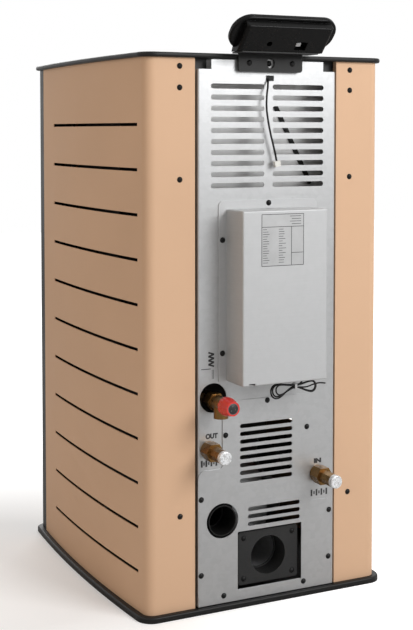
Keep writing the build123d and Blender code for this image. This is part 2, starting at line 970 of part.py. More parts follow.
# Display housing: a tilted face with round ends over a smaller wedge-shaped body
tilt = math.radians(display_tilt)
along = Vector(0, math.cos(tilt), math.sin(tilt))
outward = Vector(0, -math.sin(tilt), math.cos(tilt))
display_crest = Vector(display_x, display_top_y, body_height + display_rise)
display_centre = display_crest - along * (display_length / 2)
display_plane = Plane(origin=display_centre, x_dir=(1, 0, 0), z_dir=outward)
display_side = display_x - display_body_width / 2
rim_rear = display_crest - along * display_body_inset - outward * display_rim
rim_front = display_centre - along * (display_length / 2 - display_body_inset) - outward * 2
crease = Vector(display_x, display_crease_y, body_height + display_crease_rise)
heel = Vector(display_x, display_heel_y, body_height + display_heel_rise)
under_run = (crease - heel).normalized()
under_plane = Plane(origin=heel, x_dir=(-1, 0, 0), z_dir=(0, under_run.Z, -under_run.Y))
fascia_width = display_width - 2 * fascia_margin
fascia_length = display_length - 2 * fascia_margin
first_button_x = -(button_count - 1) / 2 * button_pitch
button_places = [(first_button_x + index * button_pitch, button_row) for index in range(button_count)]
well_depth = button_height - button_proud + button_travel + button_gap
shelf_top = body_height + bracket_sheet
with BuildPart() as display_body:
    with BuildSketch(Plane.YZ.offset(display_side)):
        with BuildLine():
            Polyline(
                (rim_front.Y, rim_front.Z),
                (rim_rear.Y, rim_rear.Z),
                (crease.Y, crease.Z),
                (heel.Y, heel.Z),
                (heel.Y - 4, shelf_top),
                (display_foot_y, shelf_top),
                close=True,
            )
        make_face()
    extrude(amount=display_body_width)
    under_side = display_body.faces().sort_by(Axis(heel, under_plane.z_dir))[-1]
    side_edges = under_side.edges().filter_by(Axis.X, reverse=True)
    fillet(side_edges, display_side_round)
    fillet(display_body.edges().filter_by(Axis.X).sort_by(Axis.Y)[-1], display_crease_round)

with BuildPart() as display_housing:
    with BuildSketch(display_plane):
        RectangleRounded(display_width, display_length, display_round)
    extrude(amount=-display_rim)
    rim_faces = display_housing.faces().sort_by(Axis(display_centre, outward))
    fillet(rim_faces[-1].edges() + rim_faces[0].edges(), display_edge_round)
    add(display_body)
    with BuildSketch(under_plane):
        with Locations((-display_screw_x, display_screw_rise)):
            Circle(display_screw_well)
    extrude(amount=-display_screw_depth, mode=Mode.SUBTRACT)
    with BuildSketch(under_plane):
        with Locations((-display_socket_x, display_socket_height / 2)):
            Rectangle(display_socket_width, display_socket_height)
    extrude(amount=-display_socket_depth, mode=Mode.SUBTRACT)
    with BuildSketch(display_plane):
        RectangleRounded(fascia_width, fascia_length, display_round - fascia_margin)
    extrude(amount=-fascia_thick, mode=Mode.SUBTRACT)
    with BuildSketch(display_plane):
        with Locations(*button_places):
            Circle(button_radius + button_gap)
    extrude(amount=-well_depth, mode=Mode.SUBTRACT)
keep(display_housing, "display_housing")

with BuildPart() as display_fascia:
    with BuildSketch(display_plane):
        RectangleRounded(fascia_width, fascia_length, display_round - fascia_margin)
        with Locations(*button_places):
            Circle(button_radius + button_gap, mode=Mode.SUBTRACT)
    extrude(amount=-fascia_thick)
keep(display_fascia, "display_fascia")

for number, place in enumerate(button_places, start=1):
    with BuildPart() as button:
        with BuildSketch(display_plane.offset(button_proud)):
            with Locations(place):
                Circle(button_radius)
        extrude(amount=-button_height)
        chamfer(button.faces().sort_by(Axis.Z)[-1].edges(), button_proud / 3)
    keep(button, f"display_button_{number}")

# Front frame: a pressed frame with three openings, hollow from behind
openings = (
    (lower_opening_bottom, lower_opening_top),
    (door_opening_bottom, door_opening_top),
    (upper_opening_bottom, upper_opening_top),
)
hinge_x = -opening_half - door_gap
hinge_y = front_y - hinge_barrel_radius - hinge_face_gap
door_half = opening_half - door_gap
door_low = door_opening_bottom + door_gap
door_high = door_opening_top - door_gap
hinge_heights = (door_low + hinge_inset, door_high - hinge_inset)
latch_z = (door_low + door_high) / 2
latch_x = opening_half - handle_inset
door_face = front_y - door_proud
door_back = door_face + door_thick
latch_back = door_back + latch_gap + latch_thick
with BuildPart() as front_frame:
    with BuildSketch(Plane.XY.offset(casing_bottom)):
        add(plan_outline(0))
        with Locations((0, (front_y + front_back) / 2)):
            Rectangle(body_width + 4 * side_bow, front_depth, mode=Mode.INTERSECT)
    extrude(amount=casing_top - casing_bottom)
    for low, high in openings:
        with BuildSketch(facing(front_back)):
            with Locations((0, (low + high) / 2)):
                Rectangle(2 * opening_half, high - low)
        extrude(amount=front_depth, mode=Mode.SUBTRACT)
    with BuildSketch(facing(front_back)):
        with Locations((0, (casing_bottom + casing_top) / 2)):
            Rectangle(body_width - 2 * front_sheet, casing_top - casing_bottom - 2 * front_sheet)
        for low, high in openings:
            with Locations((0, (low + high) / 2)):
                grown = 2 * front_sheet
                Rectangle(2 * opening_half + grown, high - low + grown, mode=Mode.SUBTRACT)
    extrude(amount=front_depth - front_sheet, mode=Mode.SUBTRACT)
    for height in hinge_heights:
        with BuildSketch(Plane.XY.offset(height - hinge_barrel_length)):
            with Locations((hinge_x, hinge_y)):
                Circle(hinge_barrel_radius)
            with Locations((hinge_x - hinge_barrel_radius / 2, (hinge_y + front_y) / 2)):
                Rectangle(hinge_barrel_radius, front_y - hinge_y)
        extrude(amount=hinge_barrel_length)
        with BuildSketch(Plane.XY.offset(height - hinge_barrel_length)):
            with Locations((hinge_x, hinge_y)):
                Circle(hinge_pin_radius)
        extrude(amount=hinge_barrel_length, mode=Mode.SUBTRACT)
    keeper_end = latch_x + latch_length - latch_width / 2 + latch_gap
    with BuildSketch(facing(latch_back + latch_gap)):
        with Locations(((opening_half + keeper_end) / 2, latch_z)):
            Rectangle(keeper_end - opening_half, 2 * latch_length)
    extrude(amount=latch_thick + 2 * latch_gap, mode=Mode.SUBTRACT)
keep(front_frame, "front_frame")


def front_panel(low, high):
    """Folded panel that closes one opening of the front frame."""
    width = 2 * (opening_half - panel_gap)
    height = high - low - 2 * panel_gap
    with BuildPart() as panel:
        with BuildSketch(facing(front_y + front_panel_depth - panel_sheet)):
            with Locations((0, (low + high) / 2)):
                Rectangle(width, height)
        extrude(amount=front_panel_depth)
        with BuildSketch(facing(front_y + front_panel_depth - panel_sheet)):
            with Locations((0, (low + high) / 2)):
                Rectangle(width - 2 * panel_sheet, height - 2 * panel_sheet)
        extrude(amount=front_panel_depth - panel_sheet, mode=Mode.SUBTRACT)
    return panel


upper_middle = (upper_opening_bottom + upper_opening_top) / 2
with BuildPart() as upper_front_panel:
    add(front_panel(upper_opening_bottom, upper_opening_top))
    with BuildSketch(facing(front_y + front_panel_depth)):
        add(
            slot_column(
                0,
                upper_middle + front_slot_pitch * (front_slot_count - 1) / 2,
                front_slot_count,
                front_slot_pitch,
                front_slot_length,
                front_slot_height,
            )
        )
    extrude(amount=2 * front_panel_depth, mode=Mode.SUBTRACT)
keep(upper_front_panel, "upper_front_panel")

drawer_middle = drawer_bottom + drawer_height / 2
with BuildPart() as lower_front_panel:
    add(front_panel(lower_opening_bottom, lower_opening_top))
    with BuildSketch(facing(front_y + front_panel_depth)):
        with Locations((0, drawer_middle)):
            Rectangle(drawer_width + 2 * drawer_gap, drawer_height + 2 * drawer_gap)
    extrude(amount=2 * front_panel_depth, mode=Mode.SUBTRACT)
keep(lower_front_panel, "lower_front_panel")

# Ash drawer with its front plate and bar handle
drawer_face = front_y - panel_sheet - hinge_face_gap
with BuildPart() as ash_drawer:
    with BuildSketch(Plane.XY.offset(drawer_bottom)):
        with Locations((0, drawer_face + drawer_length / 2)):
            Rectangle(drawer_width, drawer_length)
    extrude(amount=drawer_height)
    with BuildSketch(Plane.XY.offset(drawer_bottom + drawer_sheet)):
        with Locations((0, drawer_face + drawer_length / 2)):
            Rectangle(drawer_width - 2 * drawer_sheet, drawer_length - 2 * drawer_sheet)
    extrude(amount=drawer_height, mode=Mode.SUBTRACT)
    with BuildSketch(facing(drawer_face)):
        with Locations((0, drawer_middle)):
            RectangleRounded(
                drawer_width + 2 * drawer_front_margin,
                drawer_height + 2 * drawer_front_margin,
                drawer_front_thick,
            )
    extrude(amount=drawer_front_thick)
    with BuildSketch(Plane.XY.offset(drawer_middle - handle_thick / 2)):
        with BuildLine() as grip:
            handle_back = drawer_face - drawer_front_thick
            half_grip = drawer_handle_width / 2
            FilletPolyline(
                (-half_grip, handle_back),
                (-half_grip, handle_back - drawer_handle_stand),
                (half_grip, handle_back - drawer_handle_stand),
                (half_grip, handle_back),
                radius=drawer_handle_stand / 2,
            )
            offset(amount=handle_thick / 3, side=Side.LEFT, closed=True)
        make_face()
    extrude(amount=handle_thick)
keep(ash_drawer, "ash_drawer")

# Fire door: cast frame with a gently bowed face
window_half = door_half - window_inset
window_low = door_low + window_inset
window_high = door_high - window_inset
glass_seat = (door_thick + glass_thick) / 2
with BuildPart() as fire_door:
    with BuildSketch(Plane.XY.offset(door_low)):
        with BuildLine():
            ThreePointArc((-door_half, door_face), (0, door_face - door_bow), (door_half, door_face))
            Polyline(
                (door_half, door_face),
                (door_half, door_back),
                (-door_half, door_back),
                (-door_half, door_face),
            )
        make_face()
    extrude(amount=door_high - door_low)
    with BuildSketch(facing(door_back)):
        with Locations((0, latch_z)):
            RectangleRounded(2 * window_half, window_high - window_low, window_corner)
    extrude(amount=door_thick + 2 * door_bow, mode=Mode.SUBTRACT)
    with BuildSketch(facing(door_back)):
        with Locations((0, latch_z)):
            Rectangle(2 * (window_half + glass_lap), window_high - window_low + 2 * glass_lap)
    extrude(amount=glass_seat, mode=Mode.SUBTRACT)
    with BuildSketch(facing(door_back)):
        with Locations((latch_x, latch_z)):
            Circle(handle_shaft_radius + hinge_clearance)
    extrude(amount=door_thick + 2 * door_bow, mode=Mode.SUBTRACT)
    for height in hinge_heights:
        with BuildSketch(Plane.XY.offset(height + hinge_clearance)):
            with Locations((hinge_x, hinge_y)):
                Circle(hinge_barrel_radius + hinge_face_gap)
        extrude(amount=-hinge_barrel_length - hinge_face_gap, mode=Mode.SUBTRACT)
        with BuildSketch(Plane.XY.offset(height + hinge_clearance)):
            with Locations((hinge_x, hinge_y)):
                Circle(hinge_barrel_radius)
            with Locations((hinge_x + hinge_barrel_radius, hinge_y - hinge_barrel_radius / 2)):
                Rectangle(2 * hinge_barrel_radius, hinge_barrel_radius)
            with Locations((hinge_x + 1.5 * hinge_barrel_radius, hinge_y)):
                Rectangle(hinge_barrel_radius, hinge_barrel_radius)
        extrude(amount=hinge_barrel_length)
        with BuildSketch(Plane.XY.offset(height + hinge_clearance)):
            with Locations((hinge_x, hinge_y)):
                Circle(hinge_pin_radius + hinge_clearance)
        extrude(amount=hinge_barrel_length, mode=Mode.SUBTRACT)
keep(fire_door, "fire_door")

with BuildPart() as door_hinge_pins:
    for height in hinge_heights:
        with BuildSketch(Plane.XY.offset(height - hinge_barrel_length)):
            with Locations((hinge_x, hinge_y)):
                Circle(hinge_pin_radius)
        extrude(amount=2 * hinge_barrel_length)
keep(door_hinge_pins, "door_hinge_pins")

glass_face = door_back - glass_seat
with BuildPart() as door_glass:
    with BuildSketch(facing(glass_face + glass_thick)):
        with Locations((0, latch_z)):
            Rectangle(2 * (window_half + glass_lap), window_high - window_low + 2 * glass_lap)
    extrude(amount=glass_thick)
keep(door_glass, "door_glass")

collar_face = door_back + collar_gasket_room
collar_half = chamber_width / 2 + collar_width
gasket_line = chamber_width / 2 + collar_width / 2
gasket_middle_z = (chamber_bottom + chamber_top) / 2
gasket_height = chamber_top - chamber_bottom + collar_width
with BuildPart() as door_gasket:
    with BuildSketch(facing(collar_face - gasket_gap)):
        with Locations((0, gasket_middle_z)):
            Rectangle(2 * gasket_line + gasket_width, gasket_height + gasket_width)
            Rectangle(
                2 * gasket_line - gasket_width,
                gasket_height - gasket_width,
                mode=Mode.SUBTRACT,
            )
    extrude(amount=collar_face - gasket_gap - door_back)
keep(door_gasket, "door_gasket")

# Door handle: shaft through the door, lever in front, latch tongue behind
handle_face = door_face - door_bow - handle_stand
with BuildPart() as door_handle:
    with BuildSketch(facing(latch_back)):
        with Locations((latch_x, latch_z)):
            Circle(handle_shaft_radius)
    extrude(amount=latch_back - handle_face)
    with BuildSketch(facing(handle_face + handle_thick)):
        with Locations((latch_x, latch_z - (handle_length - handle_width) / 2)):
            SlotOverall(handle_length, handle_width, rotation=90)
    extrude(amount=handle_thick)
    fillet(door_handle.faces().sort_by(Axis.Y)[0].edges(), handle_thick / 4)
    with BuildSketch(facing(latch_back)):
        with Locations((latch_x, latch_z + (latch_length - latch_width) / 2)):
            SlotOverall(latch_length, latch_width, rotation=90)
    extrude(amount=latch_thick)
keep(door_handle, "door_handle")

# Boiler: water jacket round the fire chamber, ash bay and smoke passages, in two welded courses
cavities = (
    (chamber_width, boiler_front, chamber_back, chamber_bottom, chamber_top),
    (drawer_width + 2 * ash_bay_gap, boiler_front, chamber_back, ash_bay_bottom, ash_bay_top),
    (pot_width, pot_y - pot_width / 2, pot_y + pot_width / 2, ash_bay_top, chamber_bottom),
    (
        fire_tube_pitch * fire_tube_count,
        fire_tube_y - fire_tube_pitch,
        boiler_back - boiler_wall,
        smoke_box_bottom,
        smoke_box_top,
    ),
    (
        downcomer_width,
        boiler_back - boiler_wall - downcomer_depth,
        boiler_back - boiler_wall,
        boiler_bottom + 2 * boiler_wall,
        smoke_box_top,
    ),
)
first_tube_x = -(fire_tube_count - 1) / 2 * fire_tube_pitch
tube_places = [(first_tube_x + index * fire_tube_pitch, fire_tube_y) for index in range(fire_tube_count)]
auger_tilt = math.radians(auger_angle)
auger_dir = Vector(0, -math.cos(auger_tilt), math.sin(auger_tilt))
auger_plane = Plane(origin=(0, auger_low_y, auger_low_z), x_dir=(1, 0, 0), z_dir=auger_dir)


def block(width, y_low, y_high, z_low, z_high, grow, mode):
    """Rectangular block across the middle of the stove, grown all round."""
    with BuildSketch(Plane.XY.offset(z_low - grow)) as outline:
        with Locations((0, (y_low + y_high) / 2)):
            Rectangle(width + 2 * grow, y_high - y_low + 2 * grow)
    extrude(outline.sketch, amount=z_high - z_low + 2 * grow, mode=mode)


with BuildPart() as water_space:
    block(boiler_width, boiler_front, boiler_back, boiler_bottom, boiler_top, -boiler_wall, Mode.ADD)
    for width, y_low, y_high, z_low, z_high in cavities:
        block(width, y_low, y_high, z_low, z_high, boiler_wall, Mode.SUBTRACT)
    with BuildSketch(Plane.XY.offset(chamber_top)):
        with Locations(*tube_places):
            Circle(fire_tube_radius + boiler_wall)
    extrude(amount=smoke_box_bottom - chamber_top, mode=Mode.SUBTRACT)
    with BuildSketch(auger_plane):
        Circle(auger_tube_radius + boiler_wall)
    extrude(amount=2 * auger_tube_length, mode=Mode.SUBTRACT)

with BuildPart() as boiler_shell:
    block(boiler_width, boiler_front, boiler_back, boiler_bottom, boiler_top, 0, Mode.ADD)
    with BuildSketch(facing(boiler_front)):
        with Locations((0, gasket_middle_z)):
            Rectangle(2 * collar_half, chamber_top - chamber_bottom + 2 * collar_width)
    extrude(amount=boiler_front - collar_face)
    leg_x = (boiler_width - boiler_leg) / 2
    leg_y = (boiler_depth - boiler_leg) / 2
    with BuildSketch(Plane.XY.offset(casing_bottom)):
        with Locations((0, (boiler_front + boiler_back) / 2)):
            with GridLocations(2 * leg_x, 2 * leg_y, 2, 2):
                Rectangle(boiler_leg, boiler_leg)
    extrude(amount=boiler_bottom - casing_bottom)
    for width, y_low, y_high, z_low, z_high in cavities:
        block(width, y_low, y_high, z_low, z_high, 0, Mode.SUBTRACT)
    with BuildSketch(facing(boiler_front)):
        with Locations((0, gasket_middle_z)):
            Rectangle(chamber_width, chamber_top - chamber_bottom)
    extrude(amount=boiler_front - collar_face, mode=Mode.SUBTRACT)
    with BuildSketch(Plane.XY.offset(chamber_top)):
        with Locations(*tube_places):
            Circle(fire_tube_radius)
    extrude(amount=smoke_box_bottom - chamber_top, mode=Mode.SUBTRACT)
    add(water_space, mode=Mode.SUBTRACT)
    with BuildSketch(auger_plane.offset(auger_tube_length / 2)):
        Circle(auger_tube_radius)
    extrude(amount=auger_tube_length / 2, mode=Mode.SUBTRACT)
    with BuildSketch(facing(boiler_back)):
        with Locations((outlet_x, outlet_z), (inlet_x, inlet_z), (valve_x, valve_z)):
            Circle(pipe_radius - pipe_wall)
        with Locations((intake_x, intake_z)):
            Circle(intake_inner_radius)
        duct_middle_x = flue_x + fan_width / 2 + duct_width / 2
        duct_mouth_low = boiler_bottom + 2 * boiler_wall
        with Locations((duct_middle_x, (duct_mouth_low + duct_top - fan_sheet) / 2)):
            Rectangle(duct_width - 2 * fan_sheet, duct_top - fan_sheet - duct_mouth_low)
    extrude(amount=boiler_wall, mode=Mode.SUBTRACT)

# The lower course carries the ash bay and the chamber floor, the upper one the chamber walls
with BuildPart() as boiler_base:
    add(boiler_shell)
    split(bisect_by=Plane.XY.offset(chamber_bottom), keep=Keep.BOTTOM)
keep(boiler_base, "boiler_base")

with BuildPart() as boiler_body:
    add(boiler_shell)
    split(bisect_by=Plane.XY.offset(chamber_bottom), keep=Keep.TOP)
keep(boiler_body, "boiler_body")

# Heat-resistant boards at the back and the sides of the fire chamber
with BuildPart() as firebrick_lining:
    brick_height = auger_low_z + (auger_low_y - chamber_back) * math.tan(auger_tilt) - chamber_bottom
    brick_height -= auger_tube_radius / math.cos(auger_tilt) + brick_thick
    with BuildSketch(Plane.XY.offset(chamber_bottom)):
        with Locations((0, chamber_back - brick_thick / 2)):
            Rectangle(chamber_width, brick_thick)
        for side in (-1, 1):
            side_x = side * (chamber_width - brick_thick) / 2
            with Locations((side_x, (boiler_front + chamber_back - brick_thick) / 2)):
                Rectangle(brick_thick, chamber_depth - brick_thick)
    extrude(amount=brick_height)
keep(firebrick_lining, "firebrick_lining")

# Burn pot: tapered cast cup with air holes in its floor and sides
pot_rim_z = chamber_bottom + pot_height / 2
pot_floor_z = pot_rim_z - pot_height
pot_plane = Plane(origin=(0, pot_y, pot_rim_z))
with BuildPart() as burn_pot:
    with BuildSketch(pot_plane):
        Rectangle(pot_width - pot_wall, pot_width - pot_wall)
    extrude(amount=-pot_height, taper=pot_draft)
    with BuildSketch(pot_plane):
        Rectangle(pot_width - 3 * pot_wall, pot_width - 3 * pot_wall)
    extrude(amount=-pot_height + pot_wall, taper=pot_draft, mode=Mode.SUBTRACT)
    with BuildSketch(pot_plane):
        Rectangle(pot_width + 2 * pot_wall, pot_width + 2 * pot_wall)
        Rectangle(pot_width - 3 * pot_wall, pot_width - 3 * pot_wall, mode=Mode.SUBTRACT)
    extrude(amount=-pot_wall / 2)
    with BuildSketch(Plane(origin=(0, pot_y, pot_floor_z - 1))):
        with GridLocations(2 * pot_wall, 2 * pot_wall, pot_holes, pot_holes):
            Circle(pot_wall / 2)
    extrude(amount=2 * pot_wall, mode=Mode.SUBTRACT)
keep(burn_pot, "burn_pot")

# Hot-rod igniter under the burn pot, held by the back wall of the ash bay
igniter_z = ash_bay_top - igniter_holder_radius - igniter_drop
with BuildPart() as igniter:
    for radius, length in ((igniter_holder_radius, igniter_holder_length), (igniter_radius, igniter_length)):
        with BuildSketch(facing(chamber_back)):
            with Locations((0, igniter_z)):
                Circle(radius)
        extrude(amount=length)
keep(igniter, "igniter")

# Hopper: folded sheet funnel under the filler opening
outlet_plane = Plane(origin=(0, hopper_outlet_y, hopper_outlet_z))
shoulder_plane = Plane(origin=(0, (hopper_front + hopper_rear) / 2, hopper_shoulder))
hopper_depth = hopper_rear - hopper_front


def funnel(shrink, mode):
    """Straight upper walls and a four-sided taper down to the outlet."""
    with BuildSketch(shoulder_plane) as shoulder:
        Rectangle(hopper_width - 2 * shrink, hopper_depth - 2 * shrink)
    with BuildSketch(outlet_plane) as mouth:
        Rectangle(hopper_outlet - 2 * shrink, hopper_outlet - 2 * shrink)
    extrude(shoulder.sketch, amount=casing_top - hopper_shoulder, mode=mode)
    loft([shoulder.sketch, mouth.sketch], ruled=True, mode=mode)


with BuildPart() as hopper:
    funnel(0, Mode.ADD)
    with BuildSketch(Plane.XY.offset(casing_top)):
        with Locations((0, (hopper_front + hopper_rear) / 2)):
            Rectangle(hopper_width + 2 * hopper_rim, hopper_depth + 2 * hopper_rim)
    extrude(amount=-hopper_sheet)
    funnel(hopper_sheet, Mode.SUBTRACT)
keep(hopper, "hopper")

# Black strap across the back of the hopper
brace_run = math.hypot(brace_top_x - brace_low_x, brace_top_z - brace_low_z)
brace_turn = math.degrees(math.atan2(brace_top_z - brace_low_z, brace_top_x - brace_low_x))
with BuildPart() as hopper_brace:
    with BuildSketch(facing(hopper_rear + brace_sheet)):
        with Locations(((brace_top_x + brace_low_x) / 2, (brace_top_z + brace_low_z) / 2)):
            SlotOverall(brace_run + brace_width, brace_width, rotation=brace_turn)
    extrude(amount=brace_sheet)
keep(hopper_brace, "hopper_brace")

# Auger: tube with its inlet collar, screw and gearmotor
collar_top_plane = Plane(origin=(0, hopper_outlet_y, hopper_outlet_z))
collar_height = hopper_outlet_z - auger_low_z
with BuildPart() as auger_tube:
    with BuildSketch(auger_plane):
        Circle(auger_tube_radius)
    extrude(amount=auger_tube_length)
    with BuildSketch(collar_top_plane):
        Rectangle(hopper_outlet, hopper_outlet)
    extrude(amount=-collar_height / 2)
    with BuildSketch(auger_plane):
        Circle(auger_tube_radius - auger_tube_wall)
    extrude(amount=auger_tube_length, mode=Mode.SUBTRACT)
    with BuildSketch(collar_top_plane) as inlet:
        Rectangle(hopper_outlet - 2 * auger_tube_wall, auger_tube_radius * 2 - 3 * auger_tube_wall)
    extrude(amount=-collar_height / 2, mode=Mode.SUBTRACT)
    with BuildSketch(auger_plane):
        Circle(auger_tube_radius)
    extrude(amount=-auger_plate)
    with BuildSketch(auger_plane):
        Circle(auger_shaft_radius + shaft_gap)
    extrude(amount=-auger_plate, mode=Mode.SUBTRACT)
keep(auger_tube, "auger_tube")

with BuildPart() as auger_screw:
    with BuildSketch(auger_plane.offset(-auger_plate - auger_shaft_entry)):
        Circle(auger_shaft_radius)
    extrude(amount=auger_plate + auger_shaft_entry + auger_shaft_length)
    flight_foot = auger_plane.origin + auger_dir * flight_start
    with BuildLine():
        spiral = Helix(
            flight_pitch,
            flight_pitch * flight_turns,
            (flight_radius + auger_shaft_radius) / 2,
            center=flight_foot,
            direction=auger_dir,
        )
    flight_section = Plane(
        origin=spiral @ 0,
        x_dir=spiral @ 0 - flight_foot,
        z_dir=spiral % 0,
    )
    with BuildSketch(flight_section):
        Rectangle(flight_radius - auger_shaft_radius + 2, flight_thick)
    sweep(path=spiral, is_frenet=True)
keep(auger_screw, "auger_screw")

with BuildPart() as auger_gearmotor:
    with BuildSketch(auger_plane.offset(-auger_plate)):
        RectangleRounded(motor_side, motor_side, motor_side / 8)
    extrude(amount=-motor_length / 2)
    with BuildSketch(auger_plane.offset(-auger_plate - motor_length / 2)):
        Circle(motor_side * 0.42)
    extrude(amount=-motor_length / 2)
    with BuildSketch(auger_plane.offset(-auger_plate)):
        Circle(auger_shaft_radius + shaft_gap)
    extrude(amount=-auger_shaft_entry - shaft_gap, mode=Mode.SUBTRACT)
keep(auger_gearmotor, "auger_gearmotor")

# Smoke fan: volute whose outlet meets the flue flange, impeller, motor and suction duct
fan_side = flue_x - fan_width / 2
fan_outlet_y = flange_face - flue_socket_length


def volute(shrink, mode):
    """Round fan chamber with a round tangential outlet towards the flue."""
    with BuildSketch(Plane.YZ.offset(fan_side + shrink)) as drum:
        with Locations((fan_y, fan_z)):
            Circle(fan_radius - shrink)
    with BuildSketch(facing(fan_outlet_y)) as outlet:
        with Locations((flue_x, flue_z)):
            Circle(flue_stop_radius + fan_sheet - shrink)
    extrude(drum.sketch, amount=fan_width - 2 * shrink, mode=mode)
    extrude(outlet.sketch, amount=fan_outlet_y - fan_y, mode=mode)


with BuildPart() as fan_housing:
    volute(0, Mode.ADD)
    volute(fan_sheet, Mode.SUBTRACT)
    with BuildSketch(Plane.YZ.offset(fan_side)):
        with Locations((fan_y, fan_z)):
            Circle(fan_shaft_radius + hinge_face_gap)
    extrude(amount=fan_sheet, mode=Mode.SUBTRACT)
    with BuildSketch(Plane.YZ.offset(fan_side + fan_width)):
        with Locations((fan_y, fan_z)):
            Circle(fan_inlet_radius)
    extrude(amount=-fan_sheet, mode=Mode.SUBTRACT)
keep(fan_housing, "fan_housing")

impeller_side = flue_x - impeller_width / 2
blade_length = impeller_radius - impeller_blade_inner
with BuildPart() as fan_impeller:
    with BuildSketch(Plane.YZ.offset(impeller_side)):
        with Locations((fan_y, fan_z)):
            Circle(impeller_radius)
    extrude(amount=impeller_disc)
    with BuildSketch(Plane.YZ.offset(impeller_side)):
        with Locations((fan_y, fan_z)):
            Circle(impeller_hub_radius)
    extrude(amount=impeller_width / 2)
    with BuildSketch(Plane.YZ.offset(impeller_side)):
        with Locations((fan_y, fan_z)):
            with PolarLocations(impeller_blade_inner + blade_length / 2, impeller_blades):
                Rectangle(blade_length, impeller_blade, rotation=25)
    extrude(amount=impeller_width)
    with BuildSketch(Plane.YZ.offset(impeller_side)):
        with Locations((fan_y, fan_z)):
            Circle(fan_shaft_radius)
    extrude(amount=-fan_shaft_length)
keep(fan_impeller, "fan_impeller")

with BuildPart() as fan_motor:
    with BuildSketch(Plane.YZ.offset(fan_side)):
        with Locations((fan_y, fan_z)):
            Circle(fan_motor_radius)
    extrude(amount=-fan_motor_length)
    fillet(fan_motor.faces().sort_by(Axis.X)[0].edges(), fan_motor_radius / 5)
    with BuildSketch(Plane.YZ.offset(fan_side)):
        with Locations((fan_y, fan_z)):
            Circle(fan_shaft_radius + shaft_gap)
    shaft_entry = fan_shaft_length - (impeller_side - fan_side) + 1
    extrude(amount=-shaft_entry, mode=Mode.SUBTRACT)
keep(fan_motor, "fan_motor")

duct_side = fan_side + fan_width
with BuildPart() as smoke_duct:
    duct_height = duct_top - duct_bottom
    duct_length = duct_end_y - boiler_back
    duct_middle = (duct_side + duct_width / 2, (duct_end_y + boiler_back) / 2)
    with BuildSketch(Plane.XY.offset(duct_bottom)):
        with Locations(duct_middle):
            Rectangle(duct_width, duct_length)
    extrude(amount=duct_height)
    with BuildSketch(Plane.XY.offset(duct_bottom + fan_sheet)):
        with Locations((duct_middle[0], duct_middle[1] - fan_sheet)):
            Rectangle(duct_width - 2 * fan_sheet, duct_length)
    extrude(amount=duct_height - 2 * fan_sheet, mode=Mode.SUBTRACT)
    with BuildSketch(Plane.YZ.offset(duct_side)):
        with Locations((fan_y, fan_z)):
            Circle(fan_inlet_radius)
    extrude(amount=fan_sheet, mode=Mode.SUBTRACT)
keep(smoke_duct, "smoke_duct")

# Water pipes from the boiler to the valve, the outlet, the pump and the return inlet
with BuildPart() as water_pipes:
    for x, z, low, high in (
        (outlet_x, outlet_z, boiler_back, pipe_end_y),
        (valve_x, valve_z, boiler_back, valve_rear_y),
        (inlet_x, inlet_z, boiler_back, pump_y - pump_radius),
        (inlet_x, inlet_z, pump_y + pump_radius, pipe_end_y),
    ):
        with BuildSketch(facing(high)):
            with Locations((x, z)):
                Circle(pipe_radius)
                Circle(pipe_radius - pipe_wall, mode=Mode.SUBTRACT)
        extrude(amount=high - low)
keep(water_pipes, "water_pipes")

with BuildPart() as circulation_pump:
    with BuildSketch(Plane.YZ.offset(inlet_x + pump_radius / 2)):
        with Locations((pump_y, inlet_z)):
            Circle(pump_radius)
    extrude(amount=-pump_radius)
    with BuildSketch(Plane.YZ.offset(inlet_x - pump_radius / 2)):
        with Locations((pump_y, inlet_z)):
            Circle(pump_radius * 0.8)
    extrude(amount=-pump_length + pump_radius)
    fillet(circulation_pump.faces().sort_by(Axis.X)[0].edges(), pump_radius / 5)
    with BuildSketch(facing(pump_y + pump_radius)):
        with Locations((inlet_x, inlet_z)):
            Circle(pipe_radius + pipe_wall)
    extrude(amount=2 * pump_radius)
keep(circulation_pump, "circulation_pump")

# Expansion vessel: flat round tank held on a bracket at the back of the boiler
with BuildPart() as expansion_vessel:
    with BuildSketch(Plane.YZ.offset(vessel_x - vessel_thick / 2)):
        with Locations((vessel_y, vessel_z)):
            Circle(vessel_radius)
    extrude(amount=vessel_thick)
    fillet(expansion_vessel.edges().filter_by(GeomType.CIRCLE), vessel_thick / 3)
    with BuildSketch(Plane.XY.offset(vessel_z - vessel_thick / 4)):
        with Locations((vessel_x, (boiler_back + vessel_y) / 2)):
            Rectangle(vessel_thick / 4, vessel_y - boiler_back)
    extrude(amount=vessel_thick / 2)
keep(expansion_vessel, "expansion_vessel")


def pipe_fitting(x, z):
    """Brass union that comes through the rear sheet and ends in an open stub."""
    with BuildPart() as fitting:
        with BuildSketch(facing(rear_face + fitting_collar)):
            with Locations((x, z)):
                Circle(fitting_collar_radius)
        extrude(amount=fitting_collar)
        with BuildSketch(facing(rear_face + fitting_collar)):
            with Locations((x, z)):
                Circle(pipe_radius + pipe_wall)
        extrude(amount=rear_face + fitting_collar - pipe_end_y)
        with BuildSketch(facing(rear_face + fitting_collar + fitting_hex_length)):
            with Locations((x, z)):
                RegularPolygon(fitting_hex / 2, 6, major_radius=False)
        extrude(amount=fitting_hex_length)
        with BuildSketch(facing(stub_end)):
            with Locations((x, z)):
                RegularPolygon(stub_hex / 2, 8, major_radius=False)
        extrude(amount=stub_length)
        with BuildSketch(facing(stub_end)):
            with Locations((x, z)):
                Circle(stub_bore_radius)
        extrude(amount=stub_end - pipe_end_y, mode=Mode.SUBTRACT)
    return fitting


